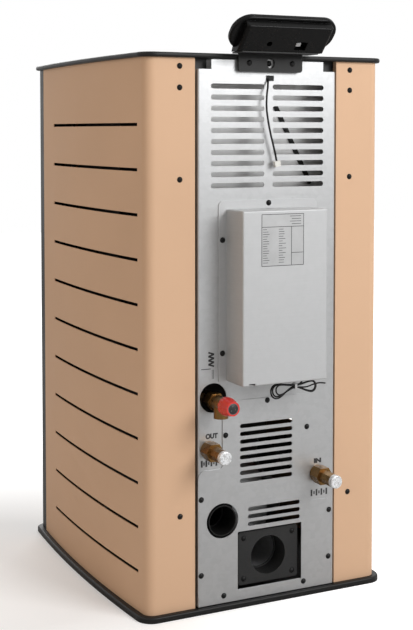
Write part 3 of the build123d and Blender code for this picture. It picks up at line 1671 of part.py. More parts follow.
def transit_cap(x, z):
    """Bright plug that closes a stub until the pipes are connected."""
    with BuildPart() as cap:
        with BuildSketch(upright(stub_end)):
            with Locations((-x, z)):
                Circle(cap_radius)
        extrude(amount=cap_length)
        fillet(cap.faces().sort_by(Axis.Y)[-1].edges(), cap_radius / 5)
        with BuildSketch(facing(stub_end)):
            with Locations((x, z)):
                Circle(cap_plug_radius)
        extrude(amount=cap_plug_length)
    return cap


stub_end = rear_face + fitting_collar + fitting_hex_length + stub_length
keep(pipe_fitting(outlet_x, outlet_z), "outlet_fitting")
keep(pipe_fitting(inlet_x, inlet_z), "inlet_fitting")
keep(transit_cap(outlet_x, outlet_z), "outlet_cap")
keep(transit_cap(inlet_x, inlet_z), "inlet_cap")

# Safety valve: brass body with a downward drain, red knob that turns on its neck
with BuildPart() as safety_valve_body:
    with BuildSketch(facing(valve_body_end)):
        with Locations((valve_x, valve_z)):
            Circle(valve_body_radius)
    extrude(amount=valve_body_end - valve_rear_y)
    with BuildSketch(facing(rear_y + valve_hex_length)):
        with Locations((valve_x, valve_z)):
            RegularPolygon(valve_hex / 2, 6, major_radius=False)
    extrude(amount=valve_hex_length)
    with BuildSketch(facing(valve_neck_end)):
        with Locations((valve_x, valve_z)):
            Circle(valve_neck_radius)
    extrude(amount=valve_neck_end - valve_rear_y)
    with BuildSketch(Plane.XY.offset(valve_drain_bottom)):
        with Locations((valve_x, valve_drain_y)):
            Circle(valve_drain_radius)
    extrude(amount=valve_z - valve_drain_bottom)
    with BuildSketch(Plane.XY.offset(valve_drain_bottom)):
        with Locations((valve_x, valve_drain_y)):
            Circle(stub_bore_radius)
    extrude(amount=valve_body_radius, mode=Mode.SUBTRACT)
keep(safety_valve_body, "safety_valve_body")

valve_axis = Axis((valve_x, 0, valve_z), (0, 1, 0))
with BuildPart() as safety_valve_knob:
    with BuildSketch(Plane(origin=(valve_x, 0, valve_z))):
        with BuildLine():
            Polyline(
                (0, valve_neck_end + hinge_face_gap),
                (valve_neck_radius + hinge_clearance, valve_neck_end + hinge_face_gap),
                (valve_neck_radius + hinge_clearance, valve_cap_start),
                (valve_cap_radius, valve_cap_start),
                (valve_cap_radius, valve_cap_start + valve_cap_insert),
                (valve_cap_end_radius, valve_cap_end),
                (valve_cap_insert, valve_cap_end),
                (valve_cap_insert, valve_cap_end - valve_cap_insert / 4),
                (0, valve_cap_end - valve_cap_insert / 4),
                close=True,
            )
        make_face()
    revolve(axis=valve_axis)
    with BuildSketch(upright(valve_cap_start)):
        with Locations((-valve_x, valve_z)):
            with PolarLocations(valve_cap_radius + 0.6, valve_cap_flutes):
                Circle(1.6)
    extrude(amount=valve_cap_insert, mode=Mode.SUBTRACT)
keep(safety_valve_knob, "safety_valve_knob")

# Signal lead: black lead out of a rubber grommet in the rear sheet, hanging to its plug
with BuildPart() as lead_grommet:
    grommet_proud = 2.0
    with BuildSketch(facing(rear_face + grommet_proud)):
        with Locations((cable_hole_x, cable_hole_z)):
            Rectangle(cable_hole_width, cable_hole_height)
    extrude(amount=rear_sheet + grommet_proud)
keep(lead_grommet, "lead_grommet")

lead_points = [
    (0.5, rear_face - rear_sheet + 0.4, cable_hole_z + 1.5),
    (7.0, 345.0, cable_hole_z - 14.0),
    (12.5, 349.0, cable_hole_z - 36.0),
    (13.5, 349.5, cable_hole_z - 62.0),
    (8.7, 348.0, cable_hole_z - 88.0),
    (2.2, 347.0, cable_hole_z - 115.0),
    (-4.2, 346.5, cable_hole_z - 137.0),
    (-9.5, 346.0, cable_hole_z - 155.0),
    (-12.5, 346.5, cable_hole_z - 171.0),
]
signal_lead, lead_line = cord(lead_points, lead_diameter, "signal_lead")
keep(signal_lead, "signal_lead")

connector_plane = Plane(origin=lead_line @ 1, x_dir=(1, 0, 0), z_dir=lead_line % 1)
with BuildPart() as lead_connector:
    with BuildSketch(connector_plane):
        Rectangle(connector_width, connector_thick)
    extrude(amount=connector_length)
keep(lead_connector, "lead_connector")

# Probe lead, put up in a hank of loops on either side of its tie
hank_left = ((54.0, -8.0, 15.5), (52.0, -6.0, 13.0), (46.0, -4.0, 10.8))
hank_right = ((51.0, -3.5, 12.0), (47.0, -2.0, 10.8))
waist_half = 7.0
row_half = hank_spacing / 2
loop_corners = 4
terminal_y = board_face + terminal_depth


def loop(reach, drop, radius):
    """Corners of one loop round the circle that it turns on, from the upper strand to the lower."""
    centre = reach - radius
    climb = math.atan2(drop - row_half, centre - waist_half)
    climb += math.asin(radius / math.hypot(drop - row_half, centre - waist_half))
    fall = math.atan2(drop + row_half, centre - waist_half)
    fall -= math.asin(radius / math.hypot(drop + row_half, centre - waist_half))
    turn = (math.pi + climb - fall) / loop_corners
    corners = []
    for index in range(loop_corners):
        angle = math.pi / 2 + climb - turn * (index + 0.5)
        distance = radius / math.cos(turn / 2)
        corners.append((centre + distance * math.cos(angle), drop + distance * math.sin(angle)))
    return corners


hank_points = [
    (hank_feed_x, terminal_y, box_bottom + terminal_height),
    (hank_feed_x, hank_y, box_bottom + terminal_height),
    (hank_feed_x, hank_y, hank_z + row_half),
]
for turn, left in enumerate(hank_left):
    layer = hank_y + turn * hank_spacing
    if turn:
        hank_points.append((hank_x - waist_half, layer, hank_z + row_half))
    hank_points.append((hank_x + waist_half, layer, hank_z + row_half))
    hank_points += [(hank_x + reach, layer, hank_z + up) for reach, up in loop(*left)]
    hank_points.append((hank_x + waist_half, layer, hank_z - row_half))
    hank_points.append((hank_x - waist_half, layer, hank_z - row_half))
    if turn < len(hank_right):
        layer += hank_spacing
        corners = reversed(loop(*hank_right[turn]))
        hank_points += [(hank_x - reach, layer, hank_z + up) for reach, up in corners]
hank_points += [
    (hank_x - 24.0, layer + hank_spacing, hank_z - 3.0),
    (hank_x - 41.0, layer + hank_spacing, hank_z + 2.0),
    (hank_x - 57.0, layer + hank_spacing, hank_z + 4.0),
    (hank_x - 69.0, layer + hank_spacing, hank_z + 1.5),
]
probe_hank, hank_line = cord(hank_points, hank_diameter, "probe_hank")
print("probe_hank least gap to itself", round(least_self_gap(hank_line, hank_diameter), 2))
keep(probe_hank, "probe_hank")

with BuildPart() as hank_tie:
    inner_height = hank_spacing + hank_diameter + 2 * tie_clearance
    inner_depth = 2 * hank_spacing + hank_diameter + 2 * tie_clearance
    with BuildSketch(Plane.YZ.offset(hank_x - tie_width / 2)):
        with Locations((hank_y + hank_spacing, hank_z)):
            Rectangle(inner_depth + 2 * tie_sheet, inner_height + 2 * tie_sheet)
            Rectangle(inner_depth, inner_height, mode=Mode.SUBTRACT)
    extrude(amount=tie_width)
    tie_top = hank_z + inner_height / 2
    with BuildSketch(Plane.XY.offset(tie_top)):
        with Locations((hank_x, hank_y + hank_spacing)):
            Rectangle(tie_width, 2 * tie_sheet)
    extrude(amount=box_bottom - tie_top)
keep(hank_tie, "hank_tie")
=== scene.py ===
"""Pellet boiler stove, dressed for a studio picture taken from behind.

Lengths are in metres. The origin is on the floor under the middle of the cabinet, +Z is up,
the fire door faces -Y and the service side faces +Y.
"""

import json
import logging
import math
from collections.abc import Callable, Iterable, Sequence
from dataclasses import dataclass
from enum import Enum
from typing import Any

import bmesh
import bpy
from bmesh.types import BMVert, BMesh
from bpy.types import ID, Material, Mesh, Node, NodeSocket, NodeTree, Object
from mathutils import Matrix, Vector


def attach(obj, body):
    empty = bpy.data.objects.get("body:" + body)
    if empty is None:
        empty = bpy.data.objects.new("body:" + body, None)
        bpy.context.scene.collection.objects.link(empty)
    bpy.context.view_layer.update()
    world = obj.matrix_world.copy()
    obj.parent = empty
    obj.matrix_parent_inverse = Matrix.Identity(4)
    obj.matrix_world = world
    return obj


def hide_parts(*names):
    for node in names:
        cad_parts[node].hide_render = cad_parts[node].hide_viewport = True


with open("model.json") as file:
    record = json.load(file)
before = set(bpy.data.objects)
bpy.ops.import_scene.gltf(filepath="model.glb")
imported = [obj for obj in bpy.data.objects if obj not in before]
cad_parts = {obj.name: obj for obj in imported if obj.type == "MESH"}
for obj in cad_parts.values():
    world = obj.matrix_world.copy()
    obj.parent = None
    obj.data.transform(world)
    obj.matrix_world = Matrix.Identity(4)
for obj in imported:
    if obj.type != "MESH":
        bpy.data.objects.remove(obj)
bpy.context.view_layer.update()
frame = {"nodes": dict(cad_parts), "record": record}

log = logging.getLogger("stove")

Point = tuple[float, float, float]
Colour = tuple[float, float, float, float]
Stops = Sequence[tuple[float, Colour]]
Outline = Sequence[tuple[float, float]]

CABINET = "cabinet"
SHARP_ANGLE = math.radians(35.0)


def grey(level: float) -> Colour:
    """Return an opaque neutral colour of that linear brightness."""
    return (level, level, level, 1.0)


def shade(colour: Colour, factor: float) -> Colour:
    """Return a colour made darker or lighter by one factor, with its alpha kept."""
    return (colour[0] * factor, colour[1] * factor, colour[2] * factor, colour[3])


class Bar(Enum):
    """Width and height of the two kinds of bars in a printed radiator sign."""

    TALL = (0.0042, 0.0140)
    SHORT = (0.0030, 0.0066)


class Network:
    """Shader nodes of one finish or of the world, wired step by step."""

    def __init__(self, name: str, world: bool = False) -> None:
        """Start an empty network for a new material, or for a new world."""
        self.owner = (bpy.data.worlds if world else bpy.data.materials).new(name)
        self.owner.use_nodes = True
        self.tree = self.owner.node_tree
        self.tree.nodes.clear()
        self.place = self.node("ShaderNodeTexCoord").outputs["Object"]

    def node(self, kind: str, values: dict[Any, Any] | None = None, **settings: Any) -> Node:
        """Add one node.

        Args:
            kind: Blender's name of the node type.
            values: Input sockets with the constants or the outputs that feed them.
            **settings: Properties of the node itself.

        Returns:
            The new node.
        """
        made = self.tree.nodes.new(kind)
        for key, value in settings.items():
            setattr(made, key, value)
        for socket, value in (values or {}).items():
            if isinstance(value, NodeSocket):
                self.tree.links.new(value, made.inputs[socket])
            else:
                made.inputs[socket].default_value = value
        return made

    def stretched(self, scale: Point, turn: Point = (0.0, 0.0, 0.0)) -> NodeSocket:
        """Return object coordinates scaled along each axis, and turned."""
        mapping = self.node("ShaderNodeMapping", {"Vector": self.place, "Scale": scale, "Rotation": turn})
        return mapping.outputs["Vector"]

    def noise(
        self, scale: float, detail: float = 3.0, roughness: float = 0.55, place: NodeSocket | None = None
    ) -> NodeSocket:
        """Return soft noise with that many features per metre, by default on object coordinates."""
        values = {"Vector": place or self.place, "Scale": scale, "Detail": detail, "Roughness": roughness}
        return self.node("ShaderNodeTexNoise", values).outputs["Fac"]

    def cells(self, scale: float, feature: str = "F1") -> Node:
        """Return a cell pattern node with that many cells per metre."""
        return self.node("ShaderNodeTexVoronoi", {"Vector": self.place, "Scale": scale}, feature=feature)

    def ramp(self, factor: NodeSocket, stops: Stops) -> NodeSocket:
        """Return colours picked from a few stops by a factor."""
        made = self.node("ShaderNodeValToRGB", {"Fac": factor})
        band = made.color_ramp
        while len(band.elements) < len(stops):
            band.elements.new(0.5)
        for element, (position, colour) in zip(band.elements, stops):
            element.position = position
            element.color = colour
        return made.outputs["Color"]

    def tones(self, factor: NodeSocket, colour: Colour, *levels: tuple[float, float]) -> NodeSocket:
        """Return shades of one colour, from pairs of a position and a brightness."""
        return self.ramp(factor, [(position, shade(colour, level)) for position, level in levels])

    def distance(self, centre: Point) -> NodeSocket:
        """Return how far the surface is from a point, in object coordinates."""
        values = {0: self.place, 1: centre}
        return self.node("ShaderNodeVectorMath", values, operation="DISTANCE").outputs["Value"]

    def span(
        self, factor: NodeSocket, low: float, high: float, start: float = 0.0, end: float = 1.0
    ) -> NodeSocket:
        """Return a factor rescaled from start to end onto low to high."""
        values = {"Value": factor, "From Min": start, "From Max": end, "To Min": low, "To Max": high}
        return self.node("ShaderNodeMapRange", values).outputs["Result"]

    def mixed(self, factor: Any, first: Any, second: Any, blend: str = "MIX") -> NodeSocket:
        """Return two colours mixed by a factor."""
        values = {0: factor, 6: first, 7: second}
        return self.node("ShaderNodeMix", values, data_type="RGBA", blend_type=blend).outputs[2]

    def rounded(self, radius: float) -> NodeSocket:
        """Return a normal that rounds sharp edges by that radius."""
        return self.node("ShaderNodeBevel", {"Radius": radius}, samples=4).outputs["Normal"]

    def relief(
        self,
        height: NodeSocket,
        depth: float,
        strength: float = 1.0,
        normal: NodeSocket | None = None,
    ) -> NodeSocket:
        """Return a normal bent by a height pattern.

        Args:
            height: Pattern from 0 to 1.
            depth: Height of the relief in metres.
            strength: Share of the relief that shows.
            normal: Normal to start from, or none for the surface's own.

        Returns:
            The bent normal.
        """
        values: dict[str, Any] = {"Height": height, "Distance": depth, "Strength": strength}
        if normal is not None:
            values["Normal"] = normal
        return self.node("ShaderNodeBump", values).outputs["Normal"]

    def surface(self, **values: Any) -> Material:
        """Close the network with a principled surface; an underscore stands for a socket name's space."""
        sockets = {key.replace("_", " "): value for key, value in values.items()}
        shader = self.node("ShaderNodeBsdfPrincipled", sockets)
        self.node("ShaderNodeOutputMaterial", {"Surface": shader.outputs["BSDF"]})
        return self.owner


@dataclass(frozen=True)
class PaintedSheet:
    """Baked powder paint with a fine peel and slow changes of tone."""

    name: str
    colour: Colour
    roughness: float = 0.42
    peel_scale: float = 900.0
    peel_depth: float = 0.00008
    tone: float = 0.06
    edge: float = 0.0006
    sheen_coat: float = 0.12
    gloss: float = 0.5

    def dress(self) -> Material:
        """Return the paint as a material."""
        net = Network(self.name)
        slow = net.noise(3.2, 2.0)
        fine = net.noise(self.peel_scale, 2.0, 0.5)
        specks = net.noise(self.peel_scale * 2.6, 1.0)
        base = net.tones(slow, self.colour, (0.30, 1.0 - self.tone), (0.72, 1.0 + self.tone * 0.6))
        base = net.mixed(net.span(specks, 0.0, 0.10, 0.45, 0.75), base, shade(self.colour, 0.72))
        rough = net.span(net.noise(22.0, 4.0), self.roughness - 0.05, self.roughness + 0.07)
        normal = net.relief(fine, self.peel_depth, 0.55, net.rounded(self.edge))
        return net.surface(
            Base_Color=base,
            Roughness=rough,
            Normal=normal,
            Specular_IOR_Level=self.gloss,
            Coat_Weight=self.sheen_coat,
            Coat_Roughness=0.3,
        )


@dataclass(frozen=True)
class ZincSheet:
    """Galvanised sheet: faint spangle, rolling streaks and a dull metal shine."""

    name: str
    colour: Colour = (0.43, 0.434, 0.438, 1.0)
    metal: float = 0.8
    roughness: float = 0.4
    spangle: float = 95.0
    contrast: float = 0.028
    streak: Point = (14.0, 14.0, 380.0)

    def dress(self) -> Material:
        """Return the sheet as a material."""
        net = Network(self.name)
        flakes = net.cells(self.spangle)
        levels = (0.2, 1.0 - self.contrast), (0.8, 1.0 + self.contrast)
        tone = net.tones(flakes.outputs["Color"], self.colour, *levels)
        cloud = net.span(net.noise(5.0, 3.0), 0.0, 0.16, 0.35, 0.75)
        base = net.mixed(cloud, tone, shade(self.colour, 0.86))
        streaks = net.noise(1.0, 3.0, 0.6, net.stretched(self.streak))
        rough = net.span(streaks, self.roughness - 0.06, self.roughness + 0.08, 0.3, 0.7)
        normal = net.relief(flakes.outputs["Distance"], 0.00004, 0.25, net.rounded(0.0004))
        normal = net.relief(net.noise(1300.0, 2.0), 0.00003, 0.35, normal)
        return net.surface(Base_Color=base, Metallic=self.metal, Roughness=rough, Normal=normal)


@dataclass(frozen=True)
class CastMetal:
    """Cast or forged metal with a grainy skin and slightly worn high spots."""

    name: str
    colour: Colour
    grain: float = 520.0
    depth: float = 0.00025
    metal: float = 0.35
    roughness: float = 0.6

    def dress(self) -> Material:
        """Return the casting as a material."""
        net = Network(self.name)
        grain = net.noise(self.grain, 5.0, 0.65)
        cloud = net.noise(11.0, 3.0)
        base = net.tones(cloud, self.colour, (0.3, 0.75), (0.75, 1.3))
        base = net.mixed(net.span(grain, 0.0, 0.5, 0.62, 0.85), base, shade(self.colour, 2.4))
        rough = net.span(grain, self.roughness - 0.12, self.roughness + 0.12, 0.3, 0.7)
        normal = net.relief(grain, self.depth, 0.5, net.rounded(0.0008))
        return net.surface(Base_Color=base, Metallic=self.metal, Roughness=rough, Normal=normal)


@dataclass(frozen=True)
class TurnedMetal:
    """Turned or drawn metal with tool marks and patches of tarnish."""

    name: str
    colour: Colour
    tarnish: Colour
    tarnish_share: float = 0.45
    roughness: float = 0.26
    marks: Point = (260.0, 1900.0, 260.0)

    def dress(self) -> Material:
        """Return the metal as a material."""
        net = Network(self.name)
        patches = net.noise(60.0, 5.0, 0.62)
        marks = net.noise(1.0, 2.0, 0.5, net.stretched(self.marks))
        dull = net.span(patches, 0.0, self.tarnish_share, 0.35, 0.7)
        base = net.mixed(dull, self.colour, self.tarnish)
        base = net.mixed(net.span(marks, 0.0, 0.18, 0.4, 0.7), base, shade(self.colour, 0.6))
        rough = net.span(patches, self.roughness - 0.05, self.roughness + 0.2, 0.3, 0.75)
        normal = net.relief(marks, 0.00006, 0.4, net.rounded(0.0005))
        return net.surface(Base_Color=base, Metallic=1.0, Roughness=rough, Normal=normal)


@dataclass(frozen=True)
class Moulding:
    """Moulded plastic or rubber with a fine spark-eroded grain."""

    name: str
    colour: Colour
    roughness: float = 0.4
    grain: float = 2400.0
    depth: float = 0.00004
    coat: float = 0.0
    glow_through: float = 0.0
    gloss: float = 0.5

    def dress(self) -> Material:
        """Return the plastic as a material."""
        net = Network(self.name)
        grain = net.noise(self.grain, 2.0)
        smear = net.noise(18.0, 4.0, 0.6)
        base = net.tones(smear, self.colour, (0.3, 0.9), (0.7, 1.08))
        rough = net.span(smear, self.roughness * 0.85, self.roughness * 1.2, 0.3, 0.7)
        normal = net.relief(grain, self.depth, 0.4, net.rounded(0.0005))
        return net.surface(
            Base_Color=base,
            Roughness=rough,
            Normal=normal,
            Specular_IOR_Level=self.gloss,
            Coat_Weight=self.coat,
            Coat_Roughness=0.06,
            Subsurface_Weight=self.glow_through,
            Subsurface_Radius=(0.004, 0.004, 0.004),
        )


@dataclass(frozen=True)
class ClearCap:
    """Milky see-through plastic with painted highlights along a net of crinkle lines."""

    name: str
    colour: Colour = (0.80, 0.82, 0.84, 1.0)

    def dress(self) -> Material:
        """Return the cap's plastic as a material."""
        net = Network(self.name)
        # Painted highlights: bright lines along the cell edges stand in for glints on the crinkled cap.
        glint_cells = net.cells(170.0, "DISTANCE_TO_EDGE")
        lines = net.span(glint_cells.outputs["Distance"], 1.0, 0.0, 0.0, 0.16)
        cloud = net.noise(140.0, 5.0, 0.65)
        base = net.ramp(cloud, [(0.32, grey(0.40)), (0.55, self.colour), (0.75, grey(0.95))])
        # The lines are mixed towards white in the colour, as painted highlights.
        base = net.mixed(net.span(lines, 0.0, 0.45), base, grey(1.0))
        rough = net.span(cloud, 0.12, 0.42, 0.3, 0.7)
        normal = net.relief(lines, 0.0003, 0.5, net.rounded(0.0008))
        normal = net.relief(cloud, 0.0004, 0.5, normal)
        return net.surface(
            Base_Color=base,
            Roughness=rough,
            Metallic=0.25,
            Normal=normal,
            Coat_Weight=0.4,
            Coat_Roughness=0.08,
            Transmission_Weight=0.12,
        )


@dataclass(frozen=True)
class DoorPane:
    """Dark heat-resistant glass with a trace of soot towards its rim."""

    name: str
    centre: Point
    reach: float = 0.17

    def dress(self) -> Material:
        """Return the pane as a material."""
        net = Network(self.name)
        rim = net.span(net.distance(self.centre), 0.0, 1.0, self.reach * 0.6, self.reach)
        soot = net.mixed(rim, grey(0.0), grey(1.0))
        smears = net.mixed(net.noise(16.0, 5.0, 0.7), grey(0.25), grey(0.9))
        veil = net.mixed(1.0, soot, smears, "MULTIPLY")
        base = net.mixed(veil, (0.012, 0.011, 0.011, 1.0), (0.035, 0.028, 0.022, 1.0))
        rough = net.span(net.noise(40.0, 4.0), 0.03, 0.12, 0.3, 0.7)
        clear = {"IOR": 1.5, "Transmission_Weight": 0.35, "Coat_Weight": 0.6}
        return net.surface(Base_Color=base, Roughness=rough, **clear)


@dataclass(frozen=True)
class Braid:
    """Woven mineral cord, as used to seal a stove door."""

    name: str
    colour: Colour = (0.16, 0.155, 0.15, 1.0)

    def dress(self) -> Material:
        """Return the braid as a material."""
        net = Network(self.name)
        weave = net.node("ShaderNodeTexWave", {"Vector": net.place, "Scale": 110.0, "Distortion": 2.5})
        turned = net.stretched((1.0, 1.0, 1.0), (0.0, 0.7, 0.0))
        cross = net.node("ShaderNodeTexWave", {"Vector": turned, "Scale": 90.0})
        pattern = net.mixed(0.5, weave.outputs["Color"], cross.outputs["Color"], "MULTIPLY")
        base = net.tones(pattern, self.colour, (0.1, 0.5), (0.8, 1.4))
        normal = net.relief(pattern, 0.001, 0.7)
        return net.surface(Base_Color=base, Roughness=0.92, Normal=normal, Sheen_Weight=0.3)


@dataclass(frozen=True)
class PressedBoard:
    """Porous heat-resistant board with darker fire marks."""

    name: str
    colour: Colour = (0.55, 0.48, 0.36, 1.0)

    def dress(self) -> Material:
        """Return the board as a material."""
        net = Network(self.name)
        pores = net.noise(240.0, 6.0, 0.7)
        fire = net.noise(6.0, 3.0)
        base = net.tones(fire, self.colour, (0.35, 0.35), (0.7, 1.0))
        base = net.mixed(net.span(pores, 0.0, 0.6, 0.55, 0.8), base, shade(self.colour, 0.4))
        normal = net.relief(pores, 0.0008, 0.7, net.rounded(0.001))
        return net.surface(Base_Color=base, Roughness=0.95, Normal=normal)


@dataclass(frozen=True)
class PrintedMark:
    """Flat black ink with slightly broken cover."""

    name: str
    colour: Colour = (0.012, 0.012, 0.013, 1.0)

    def dress(self) -> Material:
        """Return the ink as a material."""
        net = Network(self.name)
        cover = net.noise(900.0, 4.0, 0.7)
        base = net.tones(cover, self.colour, (0.3, 1.0), (0.85, 4.0))
        return net.surface(Base_Color=base, Roughness=net.span(cover, 0.45, 0.75))


class Finishes:
    """Every finish of the stove, made once and shared."""

    def __init__(self) -> None:
        """Make all materials."""
        tan = (0.70, 0.455, 0.295, 1.0)
        soot = (0.009, 0.0088, 0.0086, 1.0)
        recipes = [
            PaintedSheet("tan_paint", tan, roughness=0.48, tone=0.035, sheen_coat=0.0, gloss=0.08),
            PaintedSheet("black_paint", soot, peel_depth=0.00012, sheen_coat=0.0, gloss=0.22),
            ZincSheet("galvanised"),
            PaintedSheet("frame_steel", grey(0.022), roughness=0.6),
            PaintedSheet("boiler_steel", grey(0.045), roughness=0.62),
            CastMetal("cast_iron", grey(0.016)),
            # Painted light: a lighter, less metallic zinc for the hopper, standing in for light that
            # reaches it through the rear slots.
            ZincSheet("hopper_zinc", grey(0.8), metal=0.15),
            ZincSheet("box_grey", (0.47, 0.475, 0.48, 1.0), metal=0.4, roughness=0.5, contrast=0.01),
            TurnedMetal("brass", (0.23, 0.13, 0.045, 1.0), (0.08, 0.042, 0.016, 1.0)),
            ClearCap("cap_bright"),
            Moulding("red_plastic", (0.62, 0.018, 0.012, 1.0), roughness=0.3, coat=0.35),
            Moulding("black_plastic", grey(0.003), roughness=0.26, gloss=0.12),
            Moulding("gloss_black", grey(0.003), 0.08, grain=900.0, depth=0.00001, coat=0.08, gloss=0.12),
            Moulding("button_grey", grey(0.11), roughness=0.45),
            DoorPane("door_glass", (0.0, -0.32, 0.57)),
            Braid("gasket"),
            PressedBoard("brick"),
            PaintedSheet("screw_black", grey(0.004), 0.33, peel_scale=2600.0, sheen_coat=0.0, gloss=0.2),
            TurnedMetal("zinc", (0.62, 0.62, 0.60, 1.0), (0.38, 0.37, 0.33, 1.0), roughness=0.34),
            Moulding("board_green", (0.02, 0.12, 0.045, 1.0), roughness=0.35),
            CastMetal("motor_grey", grey(0.32), depth=0.00012, metal=0.8, roughness=0.45),
            PaintedSheet("vessel_red", (0.42, 0.022, 0.016, 1.0), roughness=0.3),
            Moulding("lead_black", grey(0.004), roughness=0.45, gloss=0.2),
            Moulding("tie_grey", grey(0.42), roughness=0.45),
            Moulding("connector_white", (0.72, 0.71, 0.66, 1.0), roughness=0.4, glow_through=0.1),
            PrintedMark("ink"),
            Moulding("label_paper", (0.47, 0.475, 0.48, 1.0), roughness=0.5),
            # Painted light: white for the ring in the display bracket's hole, standing in for lit sheet
            # seen through it.
            Moulding("bush_white", grey(0.72), roughness=0.45),
            Moulding("disc_dark", grey(0.012), roughness=0.35),
        ]
        self.made = {recipe.name: recipe.dress() for recipe in recipes}

    def __getitem__(self, name: str) -> Material:
        """Return one finish by its name."""
        return self.made[name]

    def dress_nodes(self) -> None:
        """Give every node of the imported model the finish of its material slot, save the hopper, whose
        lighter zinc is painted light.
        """
        for part in frame["record"]["subparts"]:
            node = frame["nodes"][part["node"]]
            node.data.materials.clear()
            # The hopper wears the lighter zinc of painted light instead of its slot's finish.
            finish = "hopper_zinc" if part["node"] == "hopper" else part["material_slot"]
            node.data.materials.append(self[finish])


def linked(name: str, data: ID) -> Object:
    """Return a new object of the scene that holds the given data."""
    made = bpy.data.objects.new(name, data)
    bpy.context.scene.collection.objects.link(made)
    return made


def mesh_object(name: str, shape: BMesh, finish: Material) -> Object:
    """Turn a closed shape into a finished object.

    Args:
        name: Name of the object.
        shape: Mesh in the shared frame; it is freed.
        finish: Material of the whole object.

    Returns:
        The linked object.
    """
    bmesh.ops.remove_doubles(shape, verts=shape.verts, dist=1e-6)
    bmesh.ops.recalc_face_normals(shape, faces=shape.faces)
    mesh = bpy.data.meshes.new(name)
    shape.to_mesh(mesh)
    shape.free()
    mesh.shade_smooth()
    mesh.set_sharp_from_angle(angle=SHARP_ANGLE)
    mesh.materials.append(finish)
    return linked(name, mesh)


def lathe(shape: BMesh, profile: Outline, place: Matrix, steps: int = 48, hollow: bool = False) -> None:
    """Turn a profile about the local Z axis into a closed solid.

    Args:
        shape: Mesh that receives the solid.
        profile: Radius and height of each point, from the first end to the other.
        place: Where the local axes lie in the shared frame.
        steps: Number of flats round the axis.
        hollow: Whether the profile's ends meet, which makes a ring with an open middle.
    """
    rings: list[list[BMVert]] = []
    for radius, height in profile:
        if radius < 1e-7:
            rings.append([shape.verts.new(place @ Vector((0.0, 0.0, height)))])
            continue
        turns = [math.tau * step / steps for step in range(steps)]
        points = [Vector((radius * math.cos(t), radius * math.sin(t), height)) for t in turns]
        rings.append([shape.verts.new(place @ point) for point in points])
    ends = rings[:1] if hollow else []
    for low, high in zip(rings, rings[1:] + ends):
        for step in range(steps):
            after = (step + 1) % steps
            around = (low, step), (low, after), (high, after), (high, step)
            corners = list(dict.fromkeys(ring[turn % len(ring)] for ring, turn in around))
            if len(corners) > 2:
                shape.faces.new(corners)
    if hollow:
        return
    for ring in (rings[0], rings[-1]):
        if len(ring) > 2:
            shape.faces.new(ring)


def slab(shape: BMesh, outline: Outline, low: float, high: float, place: Matrix) -> None:
    """Raise a flat outline into a closed plate.

    Args:
        shape: Mesh that receives the plate.
        outline: Corner points in the local X and Y.
        low: Local height of one face.
        high: Local height of the other face.
        place: Where the local axes lie in the shared frame.
    """
    bottom = [shape.verts.new(place @ Vector((x, y, low))) for x, y in outline]
    top = [shape.verts.new(place @ Vector((x, y, high))) for x, y in outline]
    shape.faces.new(bottom)
    shape.faces.new(top)
    for index in range(len(outline)):
        after = (index + 1) % len(outline)
        shape.faces.new((bottom[index], bottom[after], top[after], top[index]))


def rounded_rectangle(width: float, height: float, radius: float, steps: int) -> Outline:
    """Return the outline of a rectangle with round corners, centred on the origin."""
    points = []
    for quarter, (side_x, side_y) in enumerate(((1, 1), (-1, 1), (-1, -1), (1, -1))):
        for step in range(steps + 1):
            turn = math.pi / 2 * (quarter + step / steps)
            x = side_x * (width / 2 - radius) + radius * math.cos(turn)
            y = side_y * (height / 2 - radius) + radius * math.sin(turn)
            points.append((x, y))
    return points


def axes_at(place: Sequence[float], *axes: Sequence[float]) -> Matrix:
    """Return the local frame with that origin and those X, Y and Z axes."""
    return Matrix.Translation(place) @ Matrix(axes).transposed().to_4x4()


def rearward(place: Point) -> Matrix:
    """Return local axes at a place, whose Z points out of the rear and whose Y is up."""
    return axes_at(place, (-1.0, 0.0, 0.0), (0.0, 0.0, 1.0), (0.0, 1.0, 0.0))


def evaluated(holder: Object) -> Mesh:
    """Return the plain mesh that an object's text or modifiers make."""
    bpy.context.view_layer.update()
    graph = bpy.context.evaluated_depsgraph_get()
    return bpy.data.meshes.new_from_object(holder.evaluated_get(graph), depsgraph=graph)


